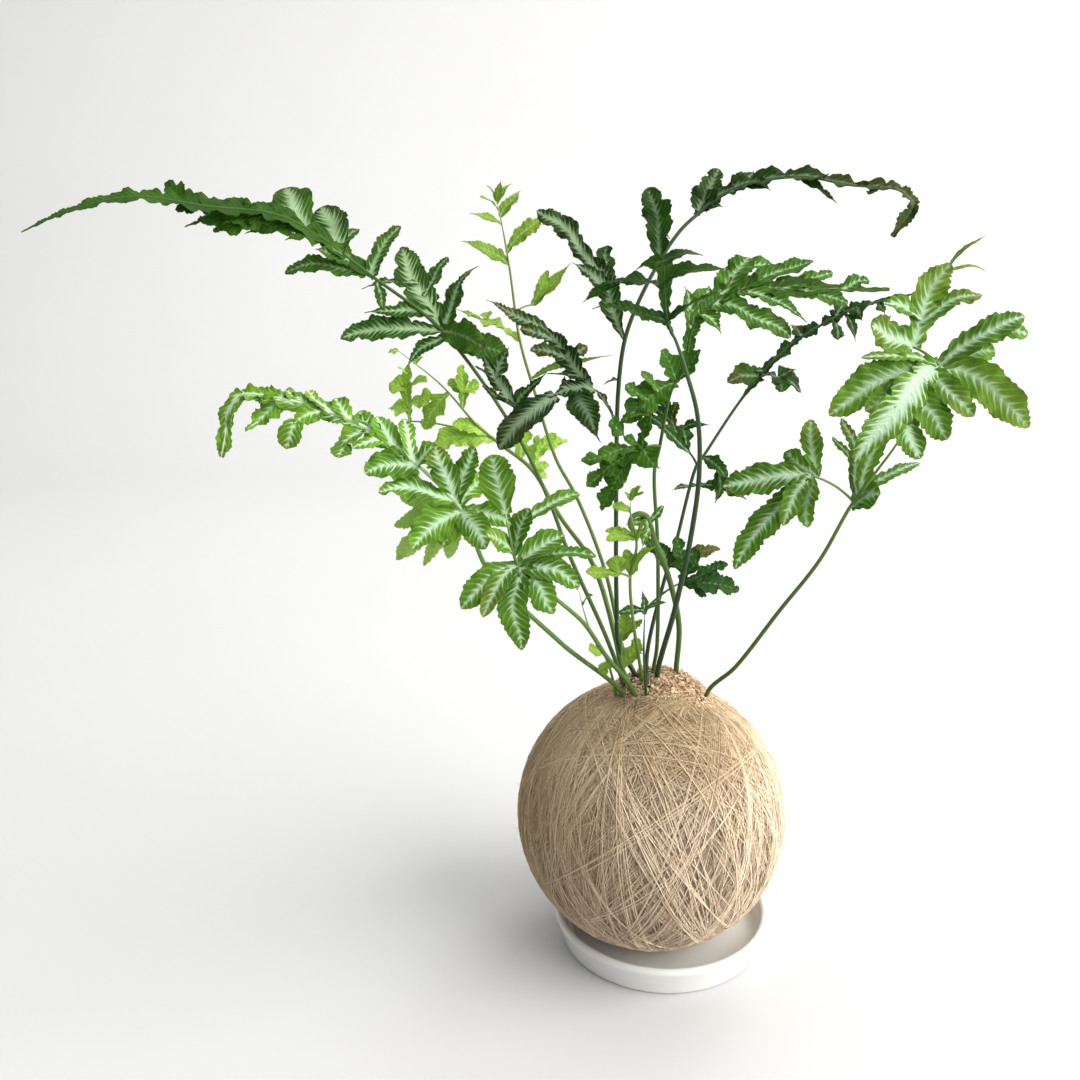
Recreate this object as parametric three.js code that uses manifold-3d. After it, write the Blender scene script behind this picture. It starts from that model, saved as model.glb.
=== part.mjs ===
// A kokedama: a thread-wound ball of coconut fibre with a variegated ribbon fern
// growing out of its top, standing in a round glazed saucer.
// Millimetres, +Z up. The origin is the middle of the saucer's underside.

import * as THREE from "three";
import { mergeVertices } from "three/addons/utils/BufferGeometryUtils.js";
import Module from "manifold-3d";

const wasm = await Module();
wasm.setup();

// ---- driving dimensions ----

const GAP = 0.3; // clearance left between neighbouring pieces
const HOLE_CLEARANCE = 0.36; // round each stem, where it stands in its hole

const SAUCER_RADIUS = 54;
const SAUCER_HEIGHT = 15;
const SAUCER_FLOOR = 4;
const SAUCER_WALL = 4;
const SAUCER_FLARE = 3.2; // how much wider the rim is than the foot
const SAUCER_SIDES = 36;

const BALL_RADIUS = 65;
const BALL_CENTRE = new THREE.Vector3(-6, -1, 68);
const BALL_LEAN = 0.09; // radians, the crown leans towards +X
const BALL_COLUMNS = 36;
const BALL_ROWS = 18;
const INSIDE_ROWS = 7;

const WRAP_THICKNESS = 3.7;
const NET_DEPTH = 0.9; // how far the crossing windings stand out
const MOUTH_RADIUS = 24;
const CROWN_HEIGHT = 73.5; // top of the fibre mound above the ball's middle
const CROWN_RINGS = 4;
const CHIP_RELIEF = 0.9;
const SHOULDER_DROP = 0.5; // how far below the thread's edge the mound starts

const LEAF_THICKNESS = 0.7;
const STALK_RADIUS = 0.6;
const ROOT_DEPTH = 15;
const STALK_STEPS = 3;
const STEM_SIDES = 5;
const SLIMMEST_BLADE = 4; // finer tips than this are left out
const RIB_BOW = 0.1; // how far a blade leaves along its stem, per length
const RIB_LIFT = 0.05; // how far it arches up, per length
const BLADE_ROLL = 0.7; // radians, the spread in how blades are turned
const WING_SHOULDER = 0.18; // shares of a half turn where a wing's swell starts and ends
const WING_END = 0.93;

const LEAF_FACING = new THREE.Vector3(0, -0.6, 0.8).normalize();
const UP = new THREE.Vector3(0, 0, 1);
const STEM = "stem";

// ---- finishes ----

const finishes = {
  glaze: new THREE.MeshStandardMaterial({ color: 0xf1f1ef, roughness: 0.22 }),
  thread: new THREE.MeshStandardMaterial({ color: 0xc9ad86, roughness: 0.85 }),
  fibre: new THREE.MeshStandardMaterial({ color: 0x9a6b42, roughness: 0.95 }),
  silver: new THREE.MeshStandardMaterial({ color: 0x4f8a3c, roughness: 0.55 }),
  bright: new THREE.MeshStandardMaterial({ color: 0x6aa544, roughness: 0.55 }),
  pale: new THREE.MeshStandardMaterial({ color: 0x9cc653, roughness: 0.6 }),
  dark: new THREE.MeshStandardMaterial({ color: 0x1f4a2a, roughness: 0.5 }),
};

// ---- the fern ----
// stem: points up the stalk, starting at the fibre. Blades grow from the stem, at a
// point counted along it, or from an earlier blade of the list, at a share of its
// length: [grows from, at, tip x, tip y, tip z, width]. A width of 0 is a bare stalk.
// wing: leaf tissue that runs along the stem from the counted point to its tip.

const FRONDS = [
  {
    name: "frond_long_left",
    finish: "silver",
    radius: 1.2,
    wing: { from: 6, width: 10 },
    stem: [
      [-19, -2, 134], [-27, -2, 159], [-44, 8, 198], [-53, 14, 223], [-67, 18, 253],
      [-100, 22, 301], [-129, 20, 326], [-164, 12, 354], [-194, 2, 360], [-222, -8, 363],
      [-248, -16, 356], [-262, -20, 351],
    ],
    blades: [
      [STEM, 5, -145, 14, 299, 11], [0, 0.45, -120, 24, 308, 7], [STEM, 5, -118, 34, 338, 15],
      [2, 0.5, -136, 26, 320, 6], [2, 0.15, -134, 16, 310, 7], [2, 0.35, -97, 38, 333, 7],
      [STEM, 5, -83, 30, 329, 10], [STEM, 5, -78, 10, 293, 13], [STEM, 4.85, -69, 24, 291, 12],
      [STEM, 4.95, -117, 14, 285, 6], [STEM, 6.25, -167, 10, 329, 8],
      [STEM, 6.9, -167, 24, 363, 12], [STEM, 6.5, -153, 28, 356, 12],
      [STEM, 6.4, -135, 28, 346, 4], [STEM, 6.05, -117, 30, 347, 7],
      [STEM, 5.95, -125, 14, 312, 5], [STEM, 7, -161, 4, 343, 7], [STEM, 6.6, -153, 8, 338, 8],
      [STEM, 8.6, -213, -4, 354, 5], [STEM, 8.15, -202, -4, 347, 7],
      [STEM, 7.5, -182, 2, 346, 6], [STEM, 9.3, -235, -6, 365, 5],
      [STEM, 8.6, -217, 2, 367, 6], [STEM, 8.1, -200, 8, 365, 7], [STEM, 7.6, -185, 14, 361, 8],
    ],
  },
  {
    name: "frond_mid_left",
    finish: "bright",
    radius: 1.2,
    wing: { from: 5, width: 9 },
    stem: [
      [-20, -9, 133], [-50, -34, 171], [-79, -52, 210], [-88, -62, 238], [-105, -58, 256],
      [-123, -54, 269], [-139, -50, 276], [-163, -46, 282], [-177, -44, 282], [-184, -50, 259],
    ],
    blades: [
      [STEM, 3, -68, -70, 231, 10], [STEM, 3, -108, -78, 230, 12],
      [STEM, 3, -80, -80, 229, 10], [STEM, 3, -93, -68, 224, 11],
      [STEM, 3.15, -83, -60, 264, 9], [STEM, 3.2, -92, -62, 266, 10],
      [STEM, 3.1, -119, -66, 248, 8], [STEM, 4, -124, -62, 252, 8],
      [STEM, 4, -108, -54, 275, 9], [STEM, 4, -96, -60, 263, 7],
      [STEM, 3, -105, -56, 214, 6], [10, 0.5, -115, -54, 215, 8],
      [10, 0.55, -96, -54, 217, 8], [10, 0.35, -114, -54, 227, 7],
      [STEM, 3.3, -112, -52, 235, 10], [STEM, 3.05, -79, -52, 250, 8],
      [STEM, 5.5, -137, -54, 259, 5], [STEM, 6.4, -156, -50, 267, 6],
      [STEM, 7.4, -173, -48, 271, 5], [STEM, 6.3, -143, -44, 281, 6],
      [STEM, 5.4, -126, -48, 277, 6], [STEM, 4.6, -113, -50, 268, 7],
      [STEM, 6.8, -159, -40, 284, 5],
    ],
  },
  {
    name: "frond_low_left",
    finish: "bright",
    radius: 1.1,
    stem: [
      [-15, -13, 135], [-30, -36, 165], [-40, -52, 186], [-52, -68, 203], [-66, -84, 222],
      [-69, -86, 236], [-70, -84, 242],
    ],
    blades: [
      [STEM, 4, -87, -98, 210, 8], [STEM, 4, -79, -102, 208, 7], [STEM, 4, -65, -110, 198, 9],
      [STEM, 4, -53, -100, 208, 9], [STEM, 4, -36, -78, 223, 7], [STEM, 4, -43, -90, 215, 8],
      [STEM, 4, -48, -76, 231, 8], [STEM, 4.3, -61, -84, 244, 7], [7, 0.7, -42, -76, 247, 6],
      [STEM, 4.4, -77, -94, 237, 7], [STEM, 6, -75, -82, 264, 13],
    ],
  },
  {
    name: "frond_pale_back",
    finish: "pale",
    radius: 1,
    stem: [
      [-19, 4, 134], [-22, 10, 154], [-32, 28, 187], [-47, 42, 207], [-61, 50, 230],
      [-76, 54, 242], [-87, 56, 251], [-105, 58, 272], [-125, 58, 289],
    ],
    blades: [
      [STEM, 5.2, -122, 64, 253, 0], [0, 1, -121, 66, 282, 6], [1, 0.2, -133, 68, 259, 10],
      [1, 0.25, -110, 62, 265, 10], [1, 0.5, -132, 68, 272, 9], [1, 0.55, -112, 62, 273, 9],
      [1, 0.8, -127, 66, 280, 5], [STEM, 6.45, -94, 64, 281, 7], [7, 0.3, -102, 66, 273, 6],
      [7, 0.3, -86, 62, 271, 8], [STEM, 6.8, -114, 56, 250, 13], [STEM, 5.6, -100, 54, 253, 8],
      [STEM, 5.3, -110, 52, 242, 10], [STEM, 4, -57, 56, 246, 6], [STEM, 4.05, -48, 60, 246, 6],
      [14, 0.4, -42, 62, 242, 6], [STEM, 4, -52, 54, 231, 5], [STEM, 3.95, -53, 52, 225, 5],
      [STEM, 4.35, -64, 62, 250, 9], [STEM, 7.6, -115, 64, 285, 6], [STEM, 8, -130, 58, 288, 5],
    ],
  },
  {
    name: "frond_pale_tall",
    finish: "pale",
    radius: 1,
    stem: [
      [-13, 6, 137], [-18, 14, 147], [-26, 24, 184], [-39, 32, 219], [-49, 36, 238],
      [-58, 40, 268], [-65, 42, 294], [-69, 42, 327], [-72, 42, 347], [-74, 41, 357],
    ],
    blades: [
      [STEM, 9, -72, 42, 366, 4], [STEM, 9, -78, 36, 364, 3], [STEM, 8.9, -67, 47, 365, 3],
      [STEM, 8.6, -81, 34, 359, 4], [STEM, 8.3, -63, 50, 362, 6], [STEM, 8, -86, 32, 352, 4],
      [STEM, 7.1, -90, 30, 340, 6], [STEM, 7.35, -53, 54, 349, 6], [7, 0.4, -66, 50, 345, 4],
      [STEM, 6.4, -58, 50, 310, 0], [9, 1, -40, 56, 329, 7], [9, 0.9, -51, 52, 326, 5],
      [STEM, 6, -96, 52, 309, 6], [12, 0.5, -80, 54, 307, 4], [STEM, 5.3, -22, 34, 287, 4],
    ],
  },
  {
    name: "frond_tall_dark",
    finish: "dark",
    radius: 1.2,
    wing: { from: 11, width: 7 },
    stem: [
      [-13, 0, 138], [-21, 2, 153], [-22, 4, 172], [-22, 6, 234], [-21, 8, 274],
      [-18, 10, 296], [-12, 12, 312], [-1, 14, 332], [7, 14, 343], [15, 14, 350],
      [23, 13, 356], [35, 10, 361], [56, 4, 363], [75, -2, 359], [94, -8, 356],
      [99, -10, 350], [90, -14, 338],
    ],
    blades: [
      [STEM, 5, -32, 18, 332, 10], [0, 0.85, -56, 12, 352, 9], [0, 0.7, -25, 20, 336, 6],
      [0, 0.5, -41, 10, 330, 6], [STEM, 6.9, -7, 24, 361, 13], [4, 0.3, 3, 20, 339, 5],
      [STEM, 8.9, 17, 22, 361, 10], [6, 0.7, 25, 24, 368, 5], [STEM, 9.8, 25, 8, 352, 4],
      [STEM, 10.6, 37, 16, 368, 6], [STEM, 11.2, 42, 4, 358, 4], [STEM, 12, 69, -6, 352, 3],
      [STEM, 12.4, 65, 4, 364, 4], [STEM, 13.2, 80, -2, 361, 4], [STEM, 13.5, 80, -10, 355, 4],
      [STEM, 14.1, 95, -8, 359, 4], [STEM, 3.6, -34, -4, 278, 4], [16, 1, -52, -8, 302, 7],
      [17, 0.9, -78, -12, 316, 7], [17, 0.75, -64, -14, 304, 5], [17, 0.4, -60, -14, 295, 6],
      [17, 0.1, -53, -14, 285, 7], [17, 0.4, -35, 0, 295, 5], [16, 0.9, -52, -16, 275, 12],
      [23, 0.8, -72, -24, 254, 14], [16, 0.7, -31, -12, 254, 11], [STEM, 4.2, -28, 0, 278, 4],
    ],
  },
  {
    name: "frond_young_front",
    finish: "pale",
    radius: 0.8,
    stem: [
      [-11, -7, 139], [-18, -36, 181], [-20, -44, 203], [-18, -50, 219], [-21, -54, 234],
      [-21, -55, 239],
    ],
    blades: [
      [STEM, 5, -17, -56, 245, 3], [STEM, 5, -23, -52, 242, 3], [STEM, 5, -16, -58, 243, 2],
      [STEM, 4, -28, -50, 236, 4], [STEM, 3.2, -31, -56, 223, 6], [STEM, 3.3, -31, -50, 225, 3],
      [STEM, 3.1, -15, -60, 232, 3], [STEM, 2.1, -22, -46, 216, 5], [STEM, 2.1, -11, -56, 220, 5],
      [STEM, 2, -25, -48, 206, 0], [9, 1, -26, -48, 214, 8], [9, 1, -39, -54, 209, 7],
    ],
  },
  {
    name: "frond_fiddlehead",
    finish: "bright",
    radius: 1.3,
    coil: { radius: 4.4, turns: 1.1 },
    stem: [[6, 0, 141], [5, -14, 170], [-3, -30, 201], [-9, -38, 216], [-12, -42, 226]],
    blades: [
      [STEM, 3.9, -22, -44, 226, 5], [STEM, 3.95, -6, -42, 233, 4], [STEM, 3.9, -15, -46, 216, 5],
    ],
  },
  {
    name: "frond_mid_right",
    finish: "silver",
    radius: 1.1,
    wing: { from: 10, width: 9 },
    stem: [
      [-5, 0, 141], [-4, -6, 156], [-5, -16, 193], [-6, -20, 214], [-8, -24, 244],
      [-6, -25, 255], [-1, -24, 279], [4, -22, 286], [8, -18, 303], [17, -14, 313],
      [28, -12, 318], [44, -12, 318], [89, -18, 317],
    ],
    blades: [
      [STEM, 5, -14, -30, 255, 0], [0, 1, -28, -34, 268, 8], [0, 1, -12, -30, 264, 5],
      [2, 0.9, -19, -32, 269, 5], [0, 1, -9, -34, 247, 10], [0, 1, -40, -38, 252, 6],
      [0, 1, -38, -42, 242, 9], [0, 1, -32, -44, 232, 7], [STEM, 6.5, -26, -38, 268, 10],
      [8, 0.75, -13, -32, 274, 5], [8, 0.55, -21, -30, 282, 5], [8, 0.35, -14, -26, 287, 4],
      [STEM, 6.9, -5, -20, 293, 8], [STEM, 6.9, 17, -28, 297, 7], [STEM, 8, 5, -12, 320, 6],
      [STEM, 8.4, 16, -8, 320, 8], [STEM, 8.5, 19, -24, 301, 6], [STEM, 9, 47, -26, 299, 7],
      [STEM, 9.3, 33, -4, 331, 8], [18, 0.5, 44, -2, 327, 5], [STEM, 10, 60, -6, 329, 6],
      [STEM, 10, 54, -24, 305, 7], [STEM, 11, 68, -8, 324, 5], [STEM, 11.2, 71, -22, 312, 5],
      [STEM, 11.6, 82, -12, 321, 4],
    ],
  },
  {
    name: "frond_spiky_front",
    finish: "dark",
    radius: 1.2,
    wing: { from: 7, width: 5 },
    stem: [
      [-4, -6, 141], [1, -32, 186], [6, -40, 221], [8, -44, 248], [6, -48, 272],
      [1, -50, 289], [-3, -52, 300], [-7, -54, 309], [-9, -56, 331],
    ],
    blades: [
      [STEM, 8, 5, -60, 333, 4], [STEM, 8, -19, -50, 328, 4], [STEM, 7.7, 14, -64, 328, 5],
      [STEM, 7.6, -36, -48, 321, 5], [3, 0.6, -39, -46, 316, 3], [STEM, 7, -35, -50, 313, 5],
      [STEM, 7, 3, -60, 315, 4],
    ],
  },
  {
    name: "frond_dark_right",
    finish: "dark",
    radius: 1.1,
    wing: { from: 7, width: 6 },
    stem: [
      [-9, -11, 138], [-8, -2, 152], [1, 8, 185], [6, 11, 200], [16, 16, 237],
      [19, 17, 241], [38, 20, 269], [56, 22, 289], [72, 22, 300], [87, 22, 307],
      [112, 20, 313],
    ],
    blades: [
      [STEM, 6.4, 29, 14, 276, 8], [STEM, 6.45, 62, 12, 271, 9], [1, 0.4, 61, 18, 281, 7],
      [1, 0.4, 52, 8, 272, 6], [STEM, 6.5, 42, 20, 280, 4], [STEM, 5, 29, 8, 233, 5],
      [5, 0.7, 23, 4, 222, 6], [STEM, 3.7, 4, 10, 227, 3], [STEM, 3.7, 38, 6, 223, 4],
      [STEM, 4.1, 12, 20, 244, 0], [9, 1, 11, 26, 255, 7], [10, 0.8, 22, 18, 256, 4],
      [9, 0.9, 3, 26, 263, 4], [12, 0.7, -4, 28, 272, 4], [12, 0.7, 8, 24, 266, 4],
      [12, 0.5, -9, 28, 267, 4], [9, 0.7, -10, 22, 262, 5], [STEM, 8.5, 83, 30, 310, 5],
      [STEM, 9, 89, 16, 302, 7], [STEM, 8.4, 78, 14, 294, 6], [STEM, 8.7, 86, 14, 293, 4],
      [STEM, 7.5, 60, 30, 300, 6], [STEM, 9.4, 99, 16, 305, 4], [STEM, 2.3, -3, 14, 203, 7],
      [STEM, 2.2, -12, 12, 208, 4], [STEM, 2.4, 10, 4, 194, 6], [STEM, 2.4, 27, 8, 199, 5],
    ],
  },
  {
    name: "frond_small_dark",
    finish: "dark",
    radius: 0.7,
    stem: [[-10, -16, 136], [-12, -24, 162], [-12, -27, 182]],
    blades: [
      [STEM, 2, -24, -30, 182, 4], [STEM, 1.9, -13, -26, 191, 4], [STEM, 2, -3, -28, 186, 2],
      [STEM, 2, 6, -16, 191, 0], [3, 1, 32, -14, 186, 11], [3, 1, 17, -16, 184, 6],
      [3, 1, 27, -12, 198, 6],
    ],
  },
  {
    name: "frond_far_right",
    finish: "bright",
    radius: 1.1,
    stem: [
      [20, -7, 133], [30, -20, 151], [44, -40, 185], [55, -58, 213], [61, -74, 239],
      [65, -82, 251], [73, -90, 269], [82, -96, 295],
    ],
    blades: [
      [STEM, 4.2, 43, -84, 254, 0], [0, 1, 10, -86, 251, 10], [0, 1, 13, -98, 223, 9],
      [0, 1, 30, -98, 239, 7], [0, 1, 40, -94, 237, 7], [0, 0.9, 34, -78, 262, 7],
      [0, 0.9, 45, -72, 273, 7], [STEM, 4.3, 54, -70, 266, 4], [STEM, 4.45, 57, -70, 273, 5],
      [STEM, 4.6, 67, -78, 276, 7], [STEM, 4.4, 88, -70, 255, 6], [STEM, 4.1, 69, -84, 247, 10],
      [STEM, 7, 42, -104, 282, 9], [STEM, 7, 47, -118, 266, 11], [STEM, 7, 75, -102, 263, 8],
      [STEM, 7, 80, -114, 273, 8], [STEM, 7, 92, -106, 279, 8], [STEM, 7, 114, -100, 273, 11],
      [STEM, 7, 106, -84, 296, 8], [STEM, 7, 115, -88, 309, 10], [19, 0.45, 109, -82, 315, 6],
      [STEM, 7, 74, -92, 301, 0], [21, 1, 87, -86, 329, 10], [22, 0.3, 63, -92, 316, 6],
      [22, 0.25, 99, -86, 318, 7], [21, 1, 59, -98, 312, 9], [STEM, 7, 53, -102, 299, 5],
    ],
  },
  {
    name: "frond_thin_left",
    finish: "pale",
    radius: 0.7,
    stem: [[-23, -5, 131], [-30, -26, 162], [-37, -36, 178], [-42, -46, 199]],
    blades: [
      [STEM, 1, -37, -32, 166, 7], [STEM, 0.8, -30, -26, 151, 6], [STEM, 3, -46, -50, 205, 3],
      [STEM, 2.6, -36, -48, 197, 3],
    ],
  },
  {
    name: "frond_young_low",
    finish: "pale",
    radius: 0.8,
    stem: [[-16, -8, 136], [-21, -14, 152], [-21, -16, 164]],
    blades: [
      [STEM, 2, -12, -17, 174, 5], [STEM, 2, -19, -19, 179, 6], [STEM, 0.8, -12, -8, 161, 11],
    ],
  },
];

// ---- solids and meshes ----

// A closed geometry as a solid that can be joined and cut.
function toSolid(geometry) {
  const bare = geometry.clone();
  bare.deleteAttribute("normal");
  bare.deleteAttribute("uv");
  const welded = mergeVertices(bare, 1e-4);
  const mesh = new wasm.Mesh({
    numProp: 3,
    vertProperties: new Float32Array(welded.attributes.position.array),
    triVerts: new Uint32Array(welded.index.array),
  });
  mesh.merge();
  return new wasm.Manifold(mesh);
}

function toGeometry(solid) {
  const mesh = solid.getMesh();
  const geometry = new THREE.BufferGeometry();
  geometry.setAttribute("position", new THREE.BufferAttribute(mesh.vertProperties, 3));
  geometry.setIndex(new THREE.BufferAttribute(mesh.triVerts, 1));
  geometry.computeVertexNormals();
  return geometry;
}

// The body that is left when loose scraps are dropped.
function largest(solid) {
  return solid.decompose().reduce((a, b) => (a.volume() > b.volume() ? a : b));
}

function named(name, finish, geometry) {
  const mesh = new THREE.Mesh(geometry, finishes[finish]);
  mesh.name = name;
  return mesh;
}

// A geometry from rings of points, each ring as long as the next. Caps close both ends.
function ringGeometry(rings, caps) {
  const positions = rings.flat().flatMap((p) => [p.x, p.y, p.z]);
  const count = rings[0].length;
  const faces = [];
  for (let row = 0; row + 1 < rings.length; row += 1) {
    for (let i = 0; i < count; i += 1) {
      const next = (i + 1) % count;
      const a = row * count + i;
      const b = row * count + next;
      const c = (row + 1) * count + next;
      const d = (row + 1) * count + i;
      if ((row + i) % 2 === 0) faces.push(a, b, c, a, c, d);
      else faces.push(a, b, d, b, c, d);
    }
  }
  for (const [ring, centre, flip] of caps) {
    const middle = positions.length / 3;
    positions.push(centre.x, centre.y, centre.z);
    for (let i = 0; i < count; i += 1) {
      const a = ring * count + i;
      const b = ring * count + ((i + 1) % count);
      if (flip) faces.push(middle, b, a);
      else faces.push(middle, a, b);
    }
  }
  const geometry = new THREE.BufferGeometry();
  geometry.setAttribute("position", new THREE.Float32BufferAttribute(positions, 3));
  geometry.setIndex(faces);
  return geometry;
}

// Repeatable random numbers from 0 to 1.
function seededRandom(seed) {
  let state = seed >>> 0;
  return () => {
    state = (Math.imul(state, 1664525) + 1013904223) >>> 0;
    return state / 4294967296;
  };
}

// ---- saucer ----

function saucer() {
  const foot = SAUCER_RADIUS - SAUCER_FLARE;
  const lip = SAUCER_WALL / 2;
  const inner = SAUCER_RADIUS - SAUCER_WALL;
  const profile = [
    [0, 0], [foot - 1, 0], [foot, 1], [SAUCER_RADIUS - 0.6, SAUCER_HEIGHT - 3.5],
    [SAUCER_RADIUS, SAUCER_HEIGHT - lip], [SAUCER_RADIUS - 0.7, SAUCER_HEIGHT - 0.5],
    [SAUCER_RADIUS - lip, SAUCER_HEIGHT], [inner + 0.5, SAUCER_HEIGHT - 0.6],
    [inner, SAUCER_HEIGHT - lip], [foot - SAUCER_WALL + 0.6, SAUCER_FLOOR + 2],
    [foot - SAUCER_WALL - 1.5, SAUCER_FLOOR], [0, SAUCER_FLOOR],
  ].map(([radius, height]) => new THREE.Vector2(radius, height));
  const geometry = new THREE.LatheGeometry(profile, SAUCER_SIDES);
  geometry.rotateX(Math.PI / 2);
  return toSolid(geometry);
}

// ---- ball ----

// A point of the ball from its polar angle, its turn and its distance from the middle.
function ballPoint(polar, turn, distance) {
  const radial = distance * Math.sin(polar);
  const point = new THREE.Vector3(radial * Math.cos(turn), radial * Math.sin(turn), 0);
  point.z = distance * Math.cos(polar);
  return point.applyAxisAngle(new THREE.Vector3(0, 1, 0), BALL_LEAN).add(BALL_CENTRE);
}

// The ball has settled on the saucer: nothing of it reaches below this height.
function settled(point, height) {
  point.z = Math.max(point.z, height);
  return point;
}

// Polar angle of a ring of points: the first is near the bottom, the last at the mouth.
function ringAngle(row, rows, mouth) {
  return Math.PI - ((Math.PI - mouth) * (row + 0.5)) / (rows + 0.5);
}

const mouthAngle = Math.asin(MOUTH_RADIUS / BALL_RADIUS);
const ballSeat = SAUCER_FLOOR + GAP;
const coreRadius = BALL_RADIUS - WRAP_THICKNESS - GAP;
const turns = Array.from({ length: BALL_COLUMNS }, (_, i) => (i * 2 * Math.PI) / BALL_COLUMNS);

// The wound thread: a shell open at the mouth, its outside a net of crossing windings.
function threadWrap() {
  const rings = [];
  for (let row = 0; row <= BALL_ROWS; row += 1) {
    const polar = ringAngle(row, BALL_ROWS, mouthAngle);
    const edge = row === BALL_ROWS;
    rings.push(turns.map((turn, i) => {
      const sunk = (row + i) % 2 === 1 && !edge ? NET_DEPTH : 0;
      return settled(ballPoint(polar, turn, BALL_RADIUS - sunk), ballSeat);
    }));
  }
  const inside = BALL_RADIUS - WRAP_THICKNESS;
  for (let row = INSIDE_ROWS; row >= 0; row -= 1) {
    const polar = ringAngle(row, INSIDE_ROWS, mouthAngle);
    rings.push(turns.map((turn) => ballPoint(polar, turn, inside)));
  }
  const bottom = settled(ballPoint(Math.PI, 0, BALL_RADIUS), ballSeat);
  const insideBottom = ballPoint(Math.PI, 0, inside);
  return toSolid(ringGeometry(rings, [[0, bottom, true], [rings.length - 1, insideBottom, false]]));
}

// The coconut fibre and potting mix, one body, heaped up through the mouth of the wrap.
function fibreBall() {
  const random = seededRandom(7);
  const neck = mouthAngle - (2 * GAP) / coreRadius;
  const shoulder = BALL_RADIUS - SHOULDER_DROP;
  const rings = [];
  for (let row = 0; row <= INSIDE_ROWS; row += 1) {
    const polar = row === INSIDE_ROWS ? neck : ringAngle(row, INSIDE_ROWS, mouthAngle);
    rings.push(turns.map((turn) => ballPoint(polar, turn, coreRadius)));
  }
  for (let step = 0; step < CROWN_RINGS; step += 1) {
    const share = step / CROWN_RINGS;
    const polar = neck * (1 - share);
    const swell = Math.sin((share * Math.PI) / 2);
    const height = shoulder + (CROWN_HEIGHT - shoulder) * swell;
    rings.push(turns.map((turn) => {
      const chip = step > 0 ? (random() - 0.5) * 2 * CHIP_RELIEF : 0;
      return ballPoint(polar, turn, height + chip);
    }));
  }
  const bottom = ballPoint(Math.PI, 0, coreRadius);
  const top = ballPoint(0, 0, CROWN_HEIGHT);
  return toSolid(ringGeometry(rings, [[0, bottom, true], [rings.length - 1, top, false]]));
}

// ---- stems and leaves ----

const vector = ([x, y, z]) => new THREE.Vector3(x, y, z);

// Points of a fiddlehead's coil, wound on from the end of its stem.
function coilPoints(stem, coil) {
  const end = stem[stem.length - 1];
  const steps = Math.round(coil.turns * 8);
  const points = [];
  for (let i = 1; i <= steps; i += 1) {
    const angle = (i / 8) * 2 * Math.PI;
    const radius = coil.radius * (1 - (0.35 * i) / steps);
    const x = end.x - coil.radius + radius * Math.cos(angle);
    const z = end.z + radius * Math.sin(angle);
    points.push(new THREE.Vector3(x, end.y - 0.3 * i, z));
  }
  return points;
}

// The route of a stem, with a straight root sunk into the fibre.
function stemRoute(frond) {
  const points = frond.stem.map(vector);
  const down = points[0].clone().sub(points[1]).normalize().lerp(UP.clone().negate(), 0.8);
  const root = points[0].clone().addScaledVector(down.normalize(), ROOT_DEPTH);
  const coil = frond.coil ? coilPoints(points, frond.coil) : [];
  return new THREE.CatmullRomCurve3([root, ...points, ...coil]);
}

// A closed tube along a curve.
function tube(curve, radius, steps) {
  const section = new THREE.Shape();
  for (let i = 0; i < STEM_SIDES; i += 1) {
    const angle = (i * 2 * Math.PI) / STEM_SIDES;
    const x = radius * Math.cos(angle);
    const y = radius * Math.sin(angle);
    if (i === 0) section.moveTo(x, y);
    else section.lineTo(x, y);
  }
  section.closePath();
  const geometry = new THREE.ExtrudeGeometry(section, { steps, extrudePath: curve });
  return toSolid(geometry);
}

// The bare part of a stem: its wing, where it has one, carries on alone from there.
function stemTube(frond, extra) {
  const route = stemRoute(frond);
  const count = frond.wing ? frond.wing.from + 2 : route.points.length;
  const bare = new THREE.CatmullRomCurve3(route.points.slice(0, count));
  return tube(bare, frond.radius + extra, count);
}

// Share of a stem's whole curve at a counted point of its list, past the sunk root.
function stemShare(curve, at) {
  return (at + 1) / (curve.points.length - 1);
}

// Cut outlines, from base to tip: share of the length and share of the half width.
const WIDE_OUTLINE = [[0, 0.05], [0.3, 0.9], [0.44, 0.72], [0.62, 1]];
const MIDDLE_OUTLINE = [[0, 0.05], [0.36, 1], [0.5, 0.74], [0.66, 0.95]];
const SLIM_OUTLINE = [[0, 0.08], [0.5, 1]];

function outlineFor(width) {
  if (width >= 10) return WIDE_OUTLINE;
  return width >= 8 ? MIDDLE_OUTLINE : SLIM_OUTLINE;
}

// A thin leaf blade along a rib, its edges cut in and out.
// rib(share) gives a point and tangent(share) the direction of growth there.
function bladeSolid(rib, tangent, width, facing, outline) {
  const positions = [];
  const put = (point) => positions.push(point.x, point.y, point.z);
  for (const [share, fullness] of outline) {
    const middle = rib(share);
    const side = new THREE.Vector3().crossVectors(facing, tangent(share)).normalize();
    const normal = new THREE.Vector3().crossVectors(tangent(share), side).normalize();
    const half = (width / 2) * fullness;
    for (const lift of [LEAF_THICKNESS / 2, -LEAF_THICKNESS / 2]) {
      for (const reach of [-half, half]) {
        put(middle.clone().addScaledVector(side, reach).addScaledVector(normal, lift));
      }
    }
  }
  const tip = rib(1);
  const side = new THREE.Vector3().crossVectors(facing, tangent(1)).normalize();
  const normal = new THREE.Vector3().crossVectors(tangent(1), side).normalize();
  put(tip.clone().addScaledVector(normal, LEAF_THICKNESS / 2));
  put(tip.clone().addScaledVector(normal, -LEAF_THICKNESS / 2));
  const geometry = new THREE.BufferGeometry();
  geometry.setAttribute("position", new THREE.Float32BufferAttribute(positions, 3));
  geometry.setIndex(bladeFaces(outline.length));
  return toSolid(geometry);
}

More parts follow.
